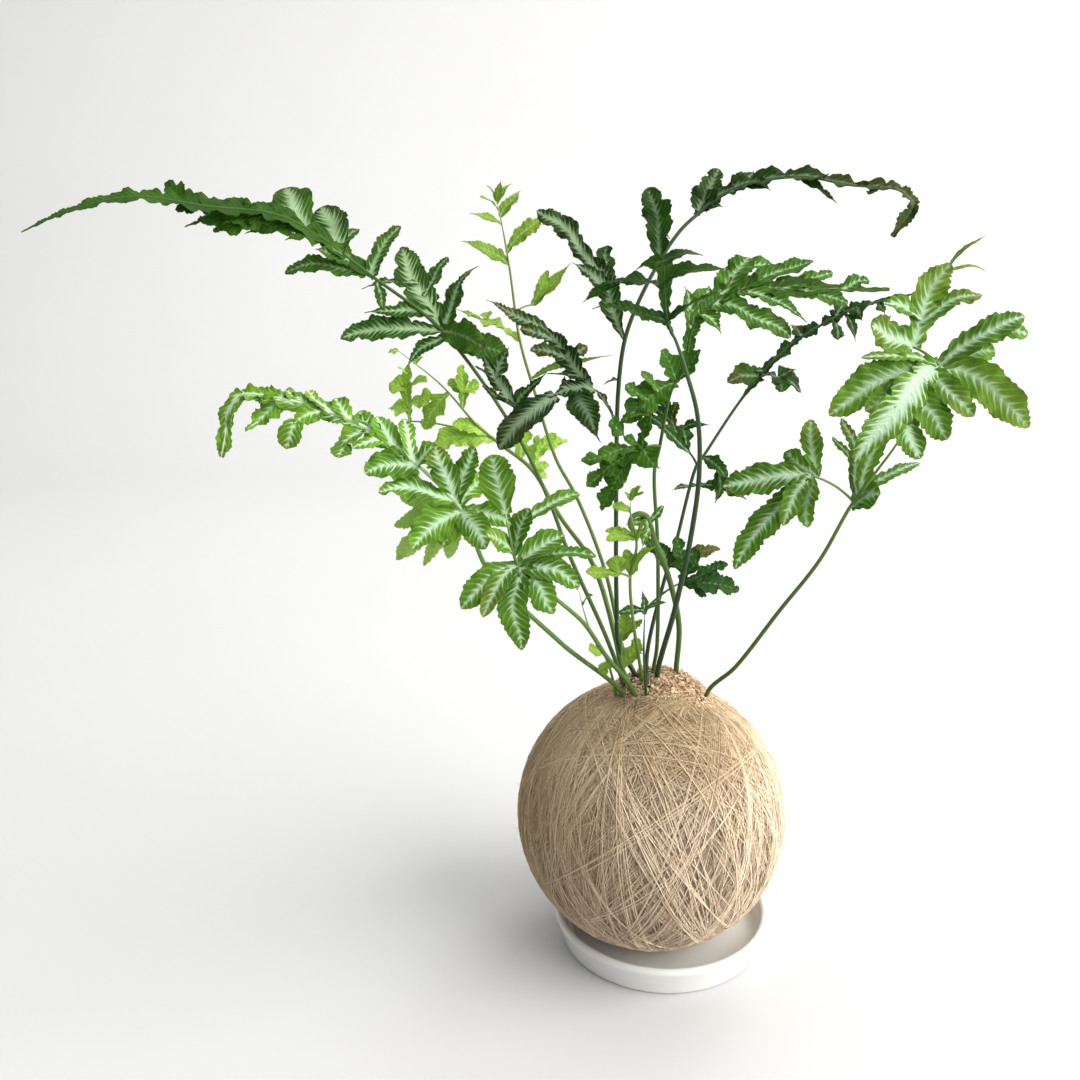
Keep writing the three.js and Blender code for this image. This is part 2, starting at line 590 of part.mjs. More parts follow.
// Triangles of a blade: both faces split alike, then the cut edge all round. Each row
// holds its left and right points on the upper face, then on the under face.
function bladeFaces(rows) {
  const faces = [];
  const quad = (a, b, c, d) => faces.push(a, b, c, a, c, d);
  for (let row = 0; row + 1 < rows; row += 1) {
    const [left, right, leftUnder, rightUnder] = [0, 1, 2, 3].map((i) => row * 4 + i);
    quad(left, left + 4, right + 4, right);
    faces.push(leftUnder, rightUnder + 4, leftUnder + 4, leftUnder, rightUnder, rightUnder + 4);
    quad(left, leftUnder, leftUnder + 4, left + 4);
    quad(right, right + 4, rightUnder + 4, rightUnder);
  }
  const [left, right, leftUnder, rightUnder] = [0, 1, 2, 3].map((i) => (rows - 1) * 4 + i);
  const tip = rows * 4;
  const tipUnder = tip + 1;
  faces.push(left, tip, right, leftUnder, rightUnder, tipUnder);
  quad(0, 1, 3, 2);
  quad(left, leftUnder, tipUnder, tip);
  quad(right, tip, tipUnder, rightUnder);
  return faces;
}

// The leaf tissue along a stem, from a counted point to the stem's tip.
function wingSolid(frond, curve) {
  const from = stemShare(curve, frond.wing.from);
  const along = (share) => from + (1 - from) * share;
  const rib = (share) => curve.getPoint(along(share));
  const tangent = (share) => curve.getTangent(along(share));
  const outline = [];
  const teeth = 2 * (frond.stem.length - 1 - frond.wing.from);
  for (let i = 0; i < teeth; i += 1) {
    const share = i / teeth;
    const notch = i % 2 === 0 ? 0.7 : 1;
    const swell = WING_SHOULDER + share * (WING_END - WING_SHOULDER);
    outline.push([share, notch * Math.sin(Math.PI * swell)]);
  }
  return bladeSolid(rib, tangent, frond.wing.width, LEAF_FACING, outline);
}

// One frond: its stem, its wing and its blades, joined in a single solid.
function frondSolid(frond, index) {
  const random = seededRandom(100 + index);
  const curve = stemRoute(frond);
  const solids = [stemTube(frond, 0)];
  if (frond.wing) solids.push(wingSolid(frond, curve));
  const ribs = [];
  for (const [parent, at, x, y, z, width] of frond.blades) {
    const host = parent === STEM ? curve : ribs[parent];
    const share = parent === STEM ? stemShare(curve, at) : at;
    const start = host.getPoint(share);
    const growth = host.getTangent(share);
    const tip = new THREE.Vector3(x, y, z);
    const length = start.distanceTo(tip);
    const middle = start.clone().lerp(tip, 0.5);
    middle.addScaledVector(growth, length * RIB_BOW).addScaledVector(UP, length * RIB_LIFT);
    const rib = new THREE.QuadraticBezierCurve3(start, middle, tip);
    ribs.push(rib);
    if (width > 0 && width < SLIMMEST_BLADE) continue;
    if (width === 0) {
      solids.push(tube(rib, STALK_RADIUS, STALK_STEPS));
      continue;
    }
    const roll = (random() - 0.5) * BLADE_ROLL;
    const facing = LEAF_FACING.clone().applyAxisAngle(tip.clone().sub(start).normalize(), roll);
    const point = (s) => rib.getPoint(s);
    const tangent = (s) => rib.getTangent(s);
    solids.push(bladeSolid(point, tangent, width, facing, outlineFor(width)));
  }
  return largest(wasm.Manifold.union(solids));
}

// ---- assembly ----

const holes = wasm.Manifold.union(FRONDS.map((frond) => stemTube(frond, HOLE_CLEARANCE)));
const plant = new THREE.Group();
plant.add(named("saucer", "glaze", toGeometry(saucer())));
plant.add(named("thread_wrap", "thread", toGeometry(threadWrap().subtract(holes))));
plant.add(named("fibre_ball", "fibre", toGeometry(fibreBall().subtract(holes))));
FRONDS.forEach((frond, index) => {
  plant.add(named(frond.name, frond.finish, toGeometry(frondSolid(frond, index))));
});

export default plant;
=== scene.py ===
"""Looks of a kokedama: a ball wound in fine thread, a variegated ribbon fern and a saucer.

Sizes are in millimetres and are turned into metres where a mesh is made.
"""

import math

import bpy
import numpy as np
from mathutils import Matrix, Vector


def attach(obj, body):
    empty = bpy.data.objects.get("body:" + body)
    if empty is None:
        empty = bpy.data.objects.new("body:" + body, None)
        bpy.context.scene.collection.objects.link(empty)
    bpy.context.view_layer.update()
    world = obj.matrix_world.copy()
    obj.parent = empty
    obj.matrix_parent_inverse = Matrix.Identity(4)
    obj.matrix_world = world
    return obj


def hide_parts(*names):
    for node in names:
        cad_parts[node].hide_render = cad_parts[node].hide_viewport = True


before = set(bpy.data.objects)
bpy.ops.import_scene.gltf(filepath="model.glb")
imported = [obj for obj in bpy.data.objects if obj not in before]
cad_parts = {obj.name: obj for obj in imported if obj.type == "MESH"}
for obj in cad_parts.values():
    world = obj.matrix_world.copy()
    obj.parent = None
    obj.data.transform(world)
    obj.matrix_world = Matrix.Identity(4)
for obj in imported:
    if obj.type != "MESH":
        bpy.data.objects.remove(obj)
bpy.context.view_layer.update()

MM = 0.001
BODY = "root"
UP = np.array([0.0, 0.0, 1.0])
FULL_TURN = 2 * math.pi

# ---- driving dimensions, in millimetres and radians ----

SAUCER_RADIUS = 54.0
SAUCER_HEIGHT = 15.0
SAUCER_FLOOR = 4.0
SAUCER_WALL = 4.0
SAUCER_FLARE = 3.2
SAUCER_SIDES = 128

BALL_RADIUS = 65.0
BALL_CENTRE = np.array([-6.0, -1.0, 68.0])
BALL_LEAN = 0.09
BALL_SEAT = 4.3  # the height of the flat under the ball
BED_RADIUS = 63.9
BED_COLUMNS = 128
BED_ROWS = 80
MOUTH_RADIUS = 24.0
MOUTH_ANGLE = math.asin(MOUTH_RADIUS / BALL_RADIUS)
MOUTH_CLOSED = 0.4  # the share that the windings take from its front
CROWN_HEIGHT = 73.5
MOUND_SINK = 0.5

THREAD_RADIUS = 0.18
THREAD_SIDES = 3
# THREAD_DARK is the tone that the deepest windings take: painted shade of the gaps between them.
THREAD_DARK = (0.12, 0.073, 0.032)
THREAD_LIGHT = (1.0, 0.81, 0.59)
WINDING_INNER = BED_RADIUS
WINDING_OUTER = 65.3
WINDING_LAYERS = 3
WINDINGS_PER_LAYER = 640
WINDING_STEPS = 46
LEFT_PIVOT = math.radians(190.0)  # where many bundles cross the mouth's edge
RIGHT_PIVOT = math.radians(-12.0)
HAIR_COUNT = 700
CRUMB_COUNT = 70
CHIP_COUNT = 1500
FIBRE_COUNT = 420

LEAF_THICKNESS = 0.3
LEAF_FACING = np.array([0.0, -0.6, 0.8])
FRONT_FACING = np.array([-0.25, -0.85, 0.46])
ROOT_DEPTH = 15.0
STEM_SIDES = 9
STALK_SIDES = 8
STALK_SKIN = 1  # the second material of a frond
STALK_TONE = (0, 0.5, 0, 0)
COIL_STEPS = 8
NO_WING = 1.2  # a wing's start, beyond the end of a stem that has none
SLIMMEST_BLADE = 4.0  # in the model
RIB_BOW = 0.1
RIB_LIFT = 0.05
BLADE_ROLL = 0.7
VEIN_SLANT = 1.0
TOOTH_SHIFT = 0.75
TOOTH_SIZES = 17
LOBE_DEPTHS = 9
ROWS_PER_VEIN = 4
ROW_LIMITS = (14, 150)
STEM = "stem"  # what a blade grows from, where it is not another blade

# ---- light ----

ROOM_LEFT = 0.26
ROOM_RIGHT = 1.0
WINDOW_POWER = 168.0
BACK_POWER = 6.0
WASH_POWER = 34.0

# ---- camera ----

CAMERA_PLACE = Vector((-57.5, -458.5, 339.0)) * MM
CAMERA_PITCH = math.radians(16.0)
CAMERA_ROLL = math.radians(1.2)
SENSOR_WIDTH = 36.0
LENS = 34.67


def make_camera():
    data = bpy.data.cameras.new("camera")
    data.sensor_width = SENSOR_WIDTH
    data.lens = LENS
    data.clip_start = 0.01
    camera = bpy.data.objects.new("camera", data)
    bpy.context.scene.collection.objects.link(camera)
    tilt = Matrix.Rotation(math.pi / 2 - CAMERA_PITCH, 4, "X")
    roll = Matrix.Rotation(-CAMERA_ROLL, 4, "Z")
    camera.matrix_world = Matrix.Translation(CAMERA_PLACE) @ tilt @ roll
    bpy.context.scene.camera = camera


# ---- meshes ----


def make_piece(name, points, faces, materials, replaced=()):
    """A mesh piece from points in millimetres, which rides on the root body."""
    mesh = bpy.data.meshes.new(name)
    mesh.from_pydata((np.asarray(points) * MM).tolist(), [], faces)
    for material in materials:
        mesh.materials.append(material)
    mesh.polygons.foreach_set("use_smooth", [True] * len(mesh.polygons))
    mesh.update()
    piece = bpy.data.objects.new(name, mesh)
    bpy.context.scene.collection.objects.link(piece)
    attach(piece, BODY)
    if replaced:
        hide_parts(*replaced)
    return piece


class Soup:
    """Points, faces and per-point numbers of many small bodies, gathered for one piece."""

    def __init__(self):
        self.points = []
        self.faces = []
        self.numbers = {"leaf": [], "tone": []}
        self.materials = []
        self.count = 0

    def add(self, points, faces, tone, leaf=(0, 0, 0, 0), material=0):
        """leaf and tone are four numbers each, for all the points or for each one."""
        points = np.asarray(points, float)
        self.points.append(points)
        self.faces += [tuple(i + self.count for i in face) for face in faces]
        for key, values in (("leaf", leaf), ("tone", tone)):
            self.numbers[key].append(np.broadcast_to(values, (len(points), 4)))
        self.materials += [material] * len(faces)
        self.count += len(points)

    def piece(self, name, materials, slot, replaced=(), sharp=None):
        piece = make_piece(name, np.vstack(self.points), self.faces, materials, replaced)
        for key, values in self.numbers.items():
            attribute = piece.data.attributes.new(key, "FLOAT_COLOR", "POINT")
            attribute.data.foreach_set("color", np.vstack(values).astype(np.float32).ravel())
        piece.data.polygons.foreach_set("material_index", self.materials)
        if sharp:
            piece.data.set_sharp_from_angle(angle=sharp)


def unit(vectors):
    vectors = np.asarray(vectors, float)
    return vectors / np.maximum(np.linalg.norm(vectors, axis=-1, keepdims=True), 1e-9)


def turned(vector, axis, angle):
    """The vector turned about a unit axis, by the right-hand rule."""
    c, s = math.cos(angle), math.sin(angle)
    return vector * c + np.cross(axis, vector) * s + axis * np.dot(axis, vector) * (1 - c)


def ring_faces(low, high, count):
    """Faces between two rings of count points, which start at low and at high."""
    after = [(i, (i + 1) % count) for i in range(count)]
    return [(low + i, low + j, high + j, high + i) for i, j in after]


def fan_faces(ring, tip, count):
    """Faces from a ring to one point."""
    return [(ring + i, ring + (i + 1) % count, tip) for i in range(count)]


def turned_over(faces):
    return [tuple(reversed(face)) for face in faces]


def lathe(profile, sides):
    """A closed surface of revolution from a profile that starts and ends on the axis."""
    angles = FULL_TURN * np.arange(sides) / sides
    rings = [[(radius * math.cos(a), radius * math.sin(a), height) for a in angles]
             for radius, height in profile[1:-1]]
    ends = [(0.0, 0.0, profile[0][1]), (0.0, 0.0, profile[-1][1])]
    points = [point for ring in rings for point in ring] + ends
    last = (len(rings) - 1) * sides
    faces = turned_over(fan_faces(0, len(points) - 2, sides)) + fan_faces(last, len(points) - 1, sides)
    for start in range(0, last, sides):
        faces += ring_faces(start, start + sides, sides)
    return points, faces


def tube(path, radii, sides, closed=False):
    """A round tube along a path of points. An open one ends in flat caps."""
    path = np.asarray(path, float)
    count = len(path)
    ahead = np.roll(path, -1, 0) - path
    behind = path - np.roll(path, 1, 0)
    if not closed:
        ahead[-1] = behind[-1]
        behind[0] = ahead[0]
    tangents = unit(ahead + behind)
    normal = np.cross(tangents[0], UP)
    if np.linalg.norm(normal) < 0.1:
        normal = np.cross(tangents[0], (1.0, 0.0, 0.0))
    normals = []
    for tangent in tangents:
        normal = normal - tangent * np.dot(normal, tangent)
        normal = normal / np.linalg.norm(normal)
        normals.append(normal)
    normals = np.array(normals)
    sides_way = np.cross(tangents, normals)
    angles = FULL_TURN * np.arange(sides) / sides
    radii = np.broadcast_to(np.asarray(radii, float), (count,))
    ring = normals[:, None] * np.cos(angles)[None, :, None]
    ring = ring + sides_way[:, None] * np.sin(angles)[None, :, None]
    points = (path[:, None] + ring * radii[:, None, None]).reshape(-1, 3)
    faces = []
    for row in range(count if closed else count - 1):
        faces += ring_faces(row * sides, (row + 1) % count * sides, sides)
    if not closed:
        faces.append(tuple(reversed(range(sides))))
        faces.append(tuple(range((count - 1) * sides, count * sides)))
    return points, faces


# ---- material helpers ----


class Nodes:
    """Short calls for building a material's node tree."""

    def __init__(self, name):
        self.material = bpy.data.materials.new(name)
        self.material.use_nodes = True
        self.tree = self.material.node_tree
        self.shader = self.tree.nodes["Principled BSDF"]

    def node(self, kind, **settings):
        node = self.tree.nodes.new("ShaderNode" + kind)
        for key, value in settings.items():
            setattr(node, key, value)
        return node

    def link(self, value, socket):
        if isinstance(value, bpy.types.NodeSocket):
            self.tree.links.new(value, socket)
        elif isinstance(value, tuple) and len(value) == 3 and socket.type == "RGBA":
            socket.default_value = (*value, 1.0)
        else:
            socket.default_value = value

    def fill(self, node, **values):
        """Sets or links inputs by name, with _ for a space."""
        for key, value in values.items():
            self.link(value, node.inputs[key.replace("_", " ")])
        return node

    def math(self, operation, *values, clamp=False):
        node = self.node("Math", operation=operation, use_clamp=clamp)
        for socket, value in zip(node.inputs, values):
            self.link(value, socket)
        return node.outputs[0]

    def times(self, a, b, clamp=False):
        return self.math("MULTIPLY", a, b, clamp=clamp)

    def plus(self, a, b):
        return self.math("ADD", a, b)

    def scaled(self, value, factor, offset, clamp=False):
        """value times factor plus offset."""
        return self.math("MULTIPLY_ADD", value, factor, offset, clamp=clamp)

    def ramp(self, value, low, high):
        """0 at low and 1 at high, smooth between and level beyond. low may be above high."""
        node = self.node("MapRange", interpolation_type="SMOOTHSTEP")
        rising = low < high
        low, high = min(low, high), max(low, high)
        start, end = (0.0, 1.0) if rising else (1.0, 0.0)
        self.fill(node, Value=value, From_Min=low, From_Max=high, To_Min=start, To_Max=end)
        return node.outputs["Result"]

    def mix(self, share, a, b):
        node = self.node("Mix", data_type="RGBA")
        return self.fill(node, Factor=share, A=a, B=b).outputs["Result"]

    def place(self):
        """Where a point is on the object, in metres."""
        return self.node("TexCoord").outputs["Object"]

    def noise(self, per_metre, detail=2.0, rough=0.5, vector=None):
        node = self.node("TexNoise")
        if vector is None:
            vector = self.place()
        self.fill(node, Vector=vector, Scale=per_metre, Detail=detail, Roughness=rough)
        return node.outputs["Fac"]

    def noise_along(self, value):
        """Noise along one number, with a period of about one."""
        node = self.node("TexNoise", noise_dimensions="1D")
        return self.fill(node, W=value, Scale=1.0, Detail=2.0).outputs["Fac"]

    def attribute(self, name):
        """The four numbers that a Soup stored."""
        source = self.node("Attribute", attribute_name=name)
        split = self.node("SeparateColor")
        self.link(source.outputs["Color"], split.inputs[0])
        return (*split.outputs[:3], source.outputs["Alpha"])

    def bump(self, height, strength, distance):
        node = self.fill(self.node("Bump"), Strength=strength, Distance=distance, Height=height)
        self.link(node.outputs[0], self.shader.inputs["Normal"])

    def set(self, **values):
        self.fill(self.shader, **values)
        return self.material


# ---- materials ----


def leaf_material(name, look, level):
    """Leaf skin: silver along the midrib and the veins, green between them, a dark edge.

    leaf holds the share across (-1 to 1), the count of veins, the share along, and 1 on
    the underside. tone holds vein strength, a random number, the burnt share and the
    width of the silver zone. level makes the whole skin lighter or darker, partly the
    frond's own tone and partly painted light and shade for how brightly it is lit.
    """
    n = Nodes(name)
    tint = {key: tuple(level * part for part in look[key]) for key in SKIN_COLOURS}
    across, vein, along, under = n.attribute("leaf")
    silver, chance, burnt, zone = n.attribute("tone")
    wander = n.scaled(n.noise(330.0), 0.6, -0.3)
    drift = n.scaled(n.noise(120.0, 1.0), 1.4, -0.7)
    side = n.math("ABSOLUTE", across)
    fade = n.scaled(side, -0.6, 1.0, clamp=True)

    # ridge is 1 on a vein and 0 midway between two. own differs for each half blade.
    place = n.plus(vein, n.scaled(wander, 0.5, drift))
    ridge = n.math("ABSOLUTE", n.scaled(n.math("FRACT", place), 2.0, -1.0))
    own = n.scaled(n.math("SIGN", across), 13.7, n.times(chance, 900.0))
    draw = n.node("TexWhiteNoise", noise_dimensions="1D")
    n.link(n.plus(n.math("FLOOR", n.plus(place, 0.5)), own), draw.inputs["W"])
    reach = n.scaled(draw.outputs["Value"], 0.75, 0.25)

    # Silver lies along the midrib, reaches out as fingers on the veins and pools at the root.
    hub = n.math("POWER", n.scaled(along, -1.0, 1.0, clamp=True), 5.0)
    middle = n.times(n.plus(zone, n.times(hub, 0.22)), n.scaled(along, -0.4, 1.1))
    flame = n.ramp(n.noise_along(n.scaled(vein, 1.9, own)), 0.42, 0.8)
    stroke = n.scaled(flame, look["flame"], n.times(n.ramp(ridge, look["vein_edge"], 1.0), reach))
    finger = n.times(stroke, n.times(silver, look["finger"]))
    limit = n.plus(middle, n.plus(finger, n.scaled(wander, 0.35, 0.02)))
    silvered = n.ramp(n.math("SUBTRACT", limit, side), -0.14, look["soft"])
    lines = n.times(n.ramp(ridge, 0.72, 1.0), n.times(fade, look["line"]))
    shown = n.math("MAXIMUM", silvered, n.times(lines, silver), clamp=True)
    strength = n.scaled(n.noise(90.0), 0.6, n.plus(zone, look["silver_share"] - 0.3))
    strength = n.scaled(hub, 0.2, n.scaled(side, look["dim"], strength))
    shown = n.times(shown, strength, clamp=True)

    patch = n.noise(55.0, 3.0)
    fresh = n.ramp(n.plus(n.scaled(chance, 0.35, patch), n.scaled(ridge, 0.2, -0.1)), 0.4, 1.0)
    top = n.mix(shown, n.mix(fresh, tint["green"], tint["light"]), tint["silver"])
    top = n.mix(n.times(n.ramp(side, 0.88, 1.0), look["edge_share"]), top, tint["edge"])
    rust = n.times(burnt, n.ramp(n.plus(along, wander), 0.3, 0.8))
    rust = n.math("MAXIMUM", rust, n.times(n.ramp(along, 0.9, 1.0), look["tip"]))
    top = n.mix(n.times(rust, 0.85, clamp=True), top, tint["burnt"])
    veins = n.times(n.ramp(ridge, 0.4, 1.0), fade)
    below = n.mix(n.times(veins, 0.16), tint["under"], tint["silver"])
    n.bump(n.scaled(veins, -0.8, n.noise(900.0)), 0.4, 0.0005)
    n.set(Subsurface_Weight=look["glow"], Subsurface_Radius=(0.0012, 0.0022, 0.0004))
    n.set(Subsurface_Scale=1.0, Specular_IOR_Level=look["gloss"])
    rough = n.scaled(n.noise(400.0), 0.16, look["roughness"])
    return n.set(Base_Color=n.mix(under, top, below), Roughness=rough)


def stem_material(name, root, middle, end):
    """Stalk skin: dark at the root, pale where it turns into a midrib, with fine streaks."""
    n = Nodes(name)
    _, _, along, _ = n.attribute("leaf")
    streak = n.noise(320.0, 3.0)
    colour = n.mix(n.ramp(along, 0.0, 0.6), root, middle)
    colour = n.mix(n.ramp(along, 0.5, 0.62), colour, end)
    colour = n.mix(n.times(n.ramp(streak, 0.45, 0.75), 0.35), colour, root)
    n.bump(n.noise(1500.0), 0.25, 0.0002)
    return n.set(Base_Color=colour, Roughness=n.scaled(streak, 0.25, 0.35), Specular_IOR_Level=0.3)


def thread_material(name):
    """Cotton thread: a tone of its own for each winding, darker for deeper windings as painted shade of the
    gaps, soil in it, and painted shade with some damp at the left and the top.
    """
    n = Nodes(name)
    _, chance, _, _ = n.attribute("tone")
    blotch = n.noise(30.0, 4.0, 0.6)
    fibre = n.noise(2600.0, 2.0, 0.7)
    # chance holds each winding's tone, darker for deeper windings: painted shade of the gaps, with some
    # dust.
    share = n.scaled(chance, 0.8, n.scaled(fibre, 0.5, -0.15), clamp=True)
    colour = n.mix(share, THREAD_DARK, THREAD_LIGHT)
    stain = n.times(n.ramp(blotch, 0.48, 0.75), 0.3)
    colour = n.mix(stain, colour, (0.50, 0.31, 0.17))
    sides = n.node("SeparateXYZ")
    n.link(n.place(), sides.inputs[0])
    # Darker at the left side, away from the window, and at the top under the foliage: painted shade, with
    # some damp.
    left = n.ramp(n.scaled(blotch, 0.03, sides.outputs["X"]), 0.01, -0.06)
    top = n.ramp(n.scaled(blotch, 0.03, sides.outputs["Z"]), 0.1, 0.15)
    shade_and_damp = n.math("MAXIMUM", left, top)
    colour = n.mix(n.times(shade_and_damp, 0.62), colour, (0.30, 0.20, 0.07))
    n.bump(fibre, 0.5, 0.00015)
    n.set(Sheen_Weight=0.15, Sheen_Roughness=0.5, Specular_IOR_Level=0.2)
    return n.set(Base_Color=colour, Roughness=n.scaled(fibre, 0.2, 0.7))


def chip_material(name):
    """Coir chips: tan, straw and red-brown pieces with fibres along them."""
    n = Nodes(name)
    _, chance, red, _ = n.attribute("tone")
    grain = n.noise(900.0, 4.0, 0.65)
    colour = n.mix(chance, (0.22, 0.13, 0.06), (0.80, 0.62, 0.42))
    colour = n.mix(n.times(red, 0.8), colour, (0.38, 0.15, 0.06))
    colour = n.mix(n.times(n.ramp(grain, 0.45, 0.8), 0.4), colour, (0.14, 0.08, 0.035))
    n.bump(grain, 0.7, 0.0005)
    return n.set(Base_Color=colour, Roughness=n.scaled(grain, 0.2, 0.75), Specular_IOR_Level=0.2)


def soil_material(name):
    """Dark potting mix and coir below the chips."""
    n = Nodes(name)
    grain = n.noise(500.0, 5.0, 0.7)
    colour = n.mix(n.ramp(grain, 0.35, 0.7), (0.03, 0.017, 0.008), (0.22, 0.13, 0.07))
    n.bump(grain, 1.0, 0.0015)
    return n.set(Base_Color=colour, Roughness=n.scaled(grain, 0.1, 0.85))


def strand_pattern(n, pivot, fineness):
    """Fine lines that all run through one place on the ball and the place opposite."""
    pivot = unit(pivot)
    first = unit(np.cross(pivot, (0.3, 0.9, 0.2)))
    second = np.cross(pivot, first)
    place = n.node("VectorMath", operation="SUBTRACT")
    n.link(n.place(), place.inputs[0])
    n.link(tuple(BALL_CENTRE * MM), place.inputs[1])
    parts = []
    for axis in (first, second):
        dot = n.node("VectorMath", operation="DOT_PRODUCT")
        n.link(place.outputs[0], dot.inputs[0])
        n.link(tuple(axis), dot.inputs[1])
        parts.append(dot.outputs["Value"])
    turn = n.math("ARCTAN2", *parts)
    return n.noise_along(n.scaled(turn, fineness, n.times(n.noise(60.0), 5.0)))


def bed_material(name):
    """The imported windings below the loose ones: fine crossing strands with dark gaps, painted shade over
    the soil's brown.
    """
    n = Nodes(name)
    pattern = strand_pattern(n, (-0.37, 0.1, 0.92), 130.0)
    for i, pivot in enumerate(((0.4, -0.1, 0.9), (0.9, -0.3, 0.3), (-0.7, -0.6, -0.3), (0.2, 0.9, 0.4))):
        other = strand_pattern(n, pivot, 120.0)
        moved = n.fill(n.node("Mapping"), Vector=n.place(), Location=(0.3 * i, 0.7, 0.1 * i))
        patch = n.ramp(n.noise(55.0, vector=moved.outputs[0]), 0.46, 0.54)
        pattern = n.fill(n.node("Mix"), Factor=patch, A=pattern, B=other).outputs["Result"]
    # The dark colour between the strands is painted shade of the gaps, over the soil's own brown.
    colour = n.mix(n.ramp(pattern, 0.4, 0.62), (0.12, 0.075, 0.04), THREAD_LIGHT)
    colour = n.mix(n.scaled(n.noise(45.0, 3.0), 0.5, 0.1), colour, (0.36, 0.25, 0.15))
    n.bump(pattern, 1.0, 0.0008)
    return n.set(Base_Color=colour, Roughness=n.scaled(pattern, 0.1, 0.8))


def glaze_material(name):
    """White glazed ceramic with faint unevenness and specks of soil dust."""
    n = Nodes(name)
    cloud = n.noise(30.0, 3.0)
    speck = n.noise(1400.0, 2.0, 0.6)
    colour = n.mix(n.times(cloud, 0.5), (0.72, 0.72, 0.70), (0.64, 0.64, 0.61))
    colour = n.mix(n.times(n.ramp(speck, 0.72, 0.8), 0.5), colour, (0.35, 0.28, 0.2))
    n.bump(n.noise(60.0), 0.12, 0.0006)
    n.set(Coat_Weight=0.3, Coat_Roughness=0.12, Specular_IOR_Level=0.5)
    return n.set(Base_Color=colour, Roughness=n.scaled(cloud, 0.15, 0.16))


# ---- saucer ----


def make_saucer():
    foot = SAUCER_RADIUS - SAUCER_FLARE
    lip = SAUCER_WALL / 2
    inner = SAUCER_RADIUS - SAUCER_WALL
    outside = [(0.0, 0.0), (foot - 1.6, 0.0), (foot - 0.7, 0.2), (foot - 0.15, 0.8), (foot, 1.6)]
    outside += [(SAUCER_RADIUS - 0.9, SAUCER_HEIGHT - 5.0), (SAUCER_RADIUS - 0.25, SAUCER_HEIGHT - 3.0)]
    rim = []
    for i in range(9):
        angle = math.pi * i / 8
        across = SAUCER_RADIUS - lip + lip * math.cos(angle)
        rim.append((across, SAUCER_HEIGHT - lip + lip * math.sin(angle)))
    well = foot - SAUCER_WALL
    inside = [(inner - 0.3, SAUCER_HEIGHT - 4.0), (well + 0.6, SAUCER_FLOOR + 2.6)]
    inside += [(well - 0.2, SAUCER_FLOOR + 1.0), (well - 1.6, SAUCER_FLOOR + 0.2)]
    inside += [(well - 3.2, SAUCER_FLOOR), (0.0, SAUCER_FLOOR)]
    points, faces = lathe(outside + rim + inside, SAUCER_SIDES)
    make_piece("saucer_glazed", points, faces, [glaze_material("glaze")], ["saucer"])


# ---- ball ----


def directions(polar, turn):
    """Unit vectors at a polar angle from straight up and a turn about the upright axis."""
    polar, turn = np.broadcast_arrays(polar, turn)
    return np.stack([np.sin(polar) * np.cos(turn), np.sin(polar) * np.sin(turn), np.cos(polar)], -1)


def ball_point(polar, turn, distance):
    """Points of the leaning ball, from polar angle, turn and distance. None lies below its seat."""
    x, y, z = np.moveaxis(directions(polar, turn) * np.asarray(distance)[..., None], -1, 0)
    c, s = math.cos(BALL_LEAN), math.sin(BALL_LEAN)
    points = np.stack([x * c + z * s, y, z * c - x * s], -1) + BALL_CENTRE
    points[..., 2] = np.maximum(points[..., 2], BALL_SEAT)
    return points


def rim_angle(turn):
    """Polar angle of the mouth's edge. The windings close over the front of the mound."""
    front = np.clip(-np.sin(turn), 0, 1)
    return MOUTH_ANGLE * (1.0 - MOUTH_CLOSED * front ** 1.5)


def mound_swell(polar):
    """How far the mound in the mouth stands above the ball, in millimetres."""
    share = np.clip(1.0 - polar / MOUTH_ANGLE, 0, 1)
    return (CROWN_HEIGHT - BALL_RADIUS + MOUND_SINK) * np.sin(share * math.pi / 2)


def mound_point(polar, turn, lift):
    return ball_point(polar, turn, BALL_RADIUS - MOUND_SINK + mound_swell(polar) + lift)


def outwards(point):
    return unit(point - BALL_CENTRE)


def any_direction(rng):
    return unit(rng.normal(size=3))


def make_bed(rng):
    """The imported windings: a closed skin, uneven, just below the loose ones."""
    turn = FULL_TURN * np.arange(BED_COLUMNS) / BED_COLUMNS
    edge = rim_angle(turn) * 0.98
    points = []
    for row in range(BED_ROWS):
        polar = math.pi - (math.pi - edge) * (row + 0.5) / (BED_ROWS - 0.5)
        rough = rng.normal(0.0, 0.12, BED_COLUMNS)
        points.append(ball_point(polar, turn, BED_RADIUS + mound_swell(polar) + rough))
    points.append(ball_point([math.pi, 0.0], 0.0, [BED_RADIUS, BED_RADIUS - 3.0]))
    bottom = BED_ROWS * BED_COLUMNS
    last = bottom - BED_COLUMNS
    faces = turned_over(fan_faces(0, bottom, BED_COLUMNS)) + fan_faces(last, bottom + 1, BED_COLUMNS)
    for start in range(0, last, BED_COLUMNS):
        faces += ring_faces(start, start + BED_COLUMNS, BED_COLUMNS)
    make_piece("thread_bed", np.vstack(points), faces, [bed_material("bed")], ["thread_wrap"])


def polar_normal(turn, heading):
    """Normal of the great circle over the mouth's edge at turn. heading is measured from straight down."""
    edge = directions(rim_angle(turn), turn)
    down = unit(np.cross(np.cross(edge, UP), edge) * -1)
    return np.cross(edge, turned(down, edge, heading))


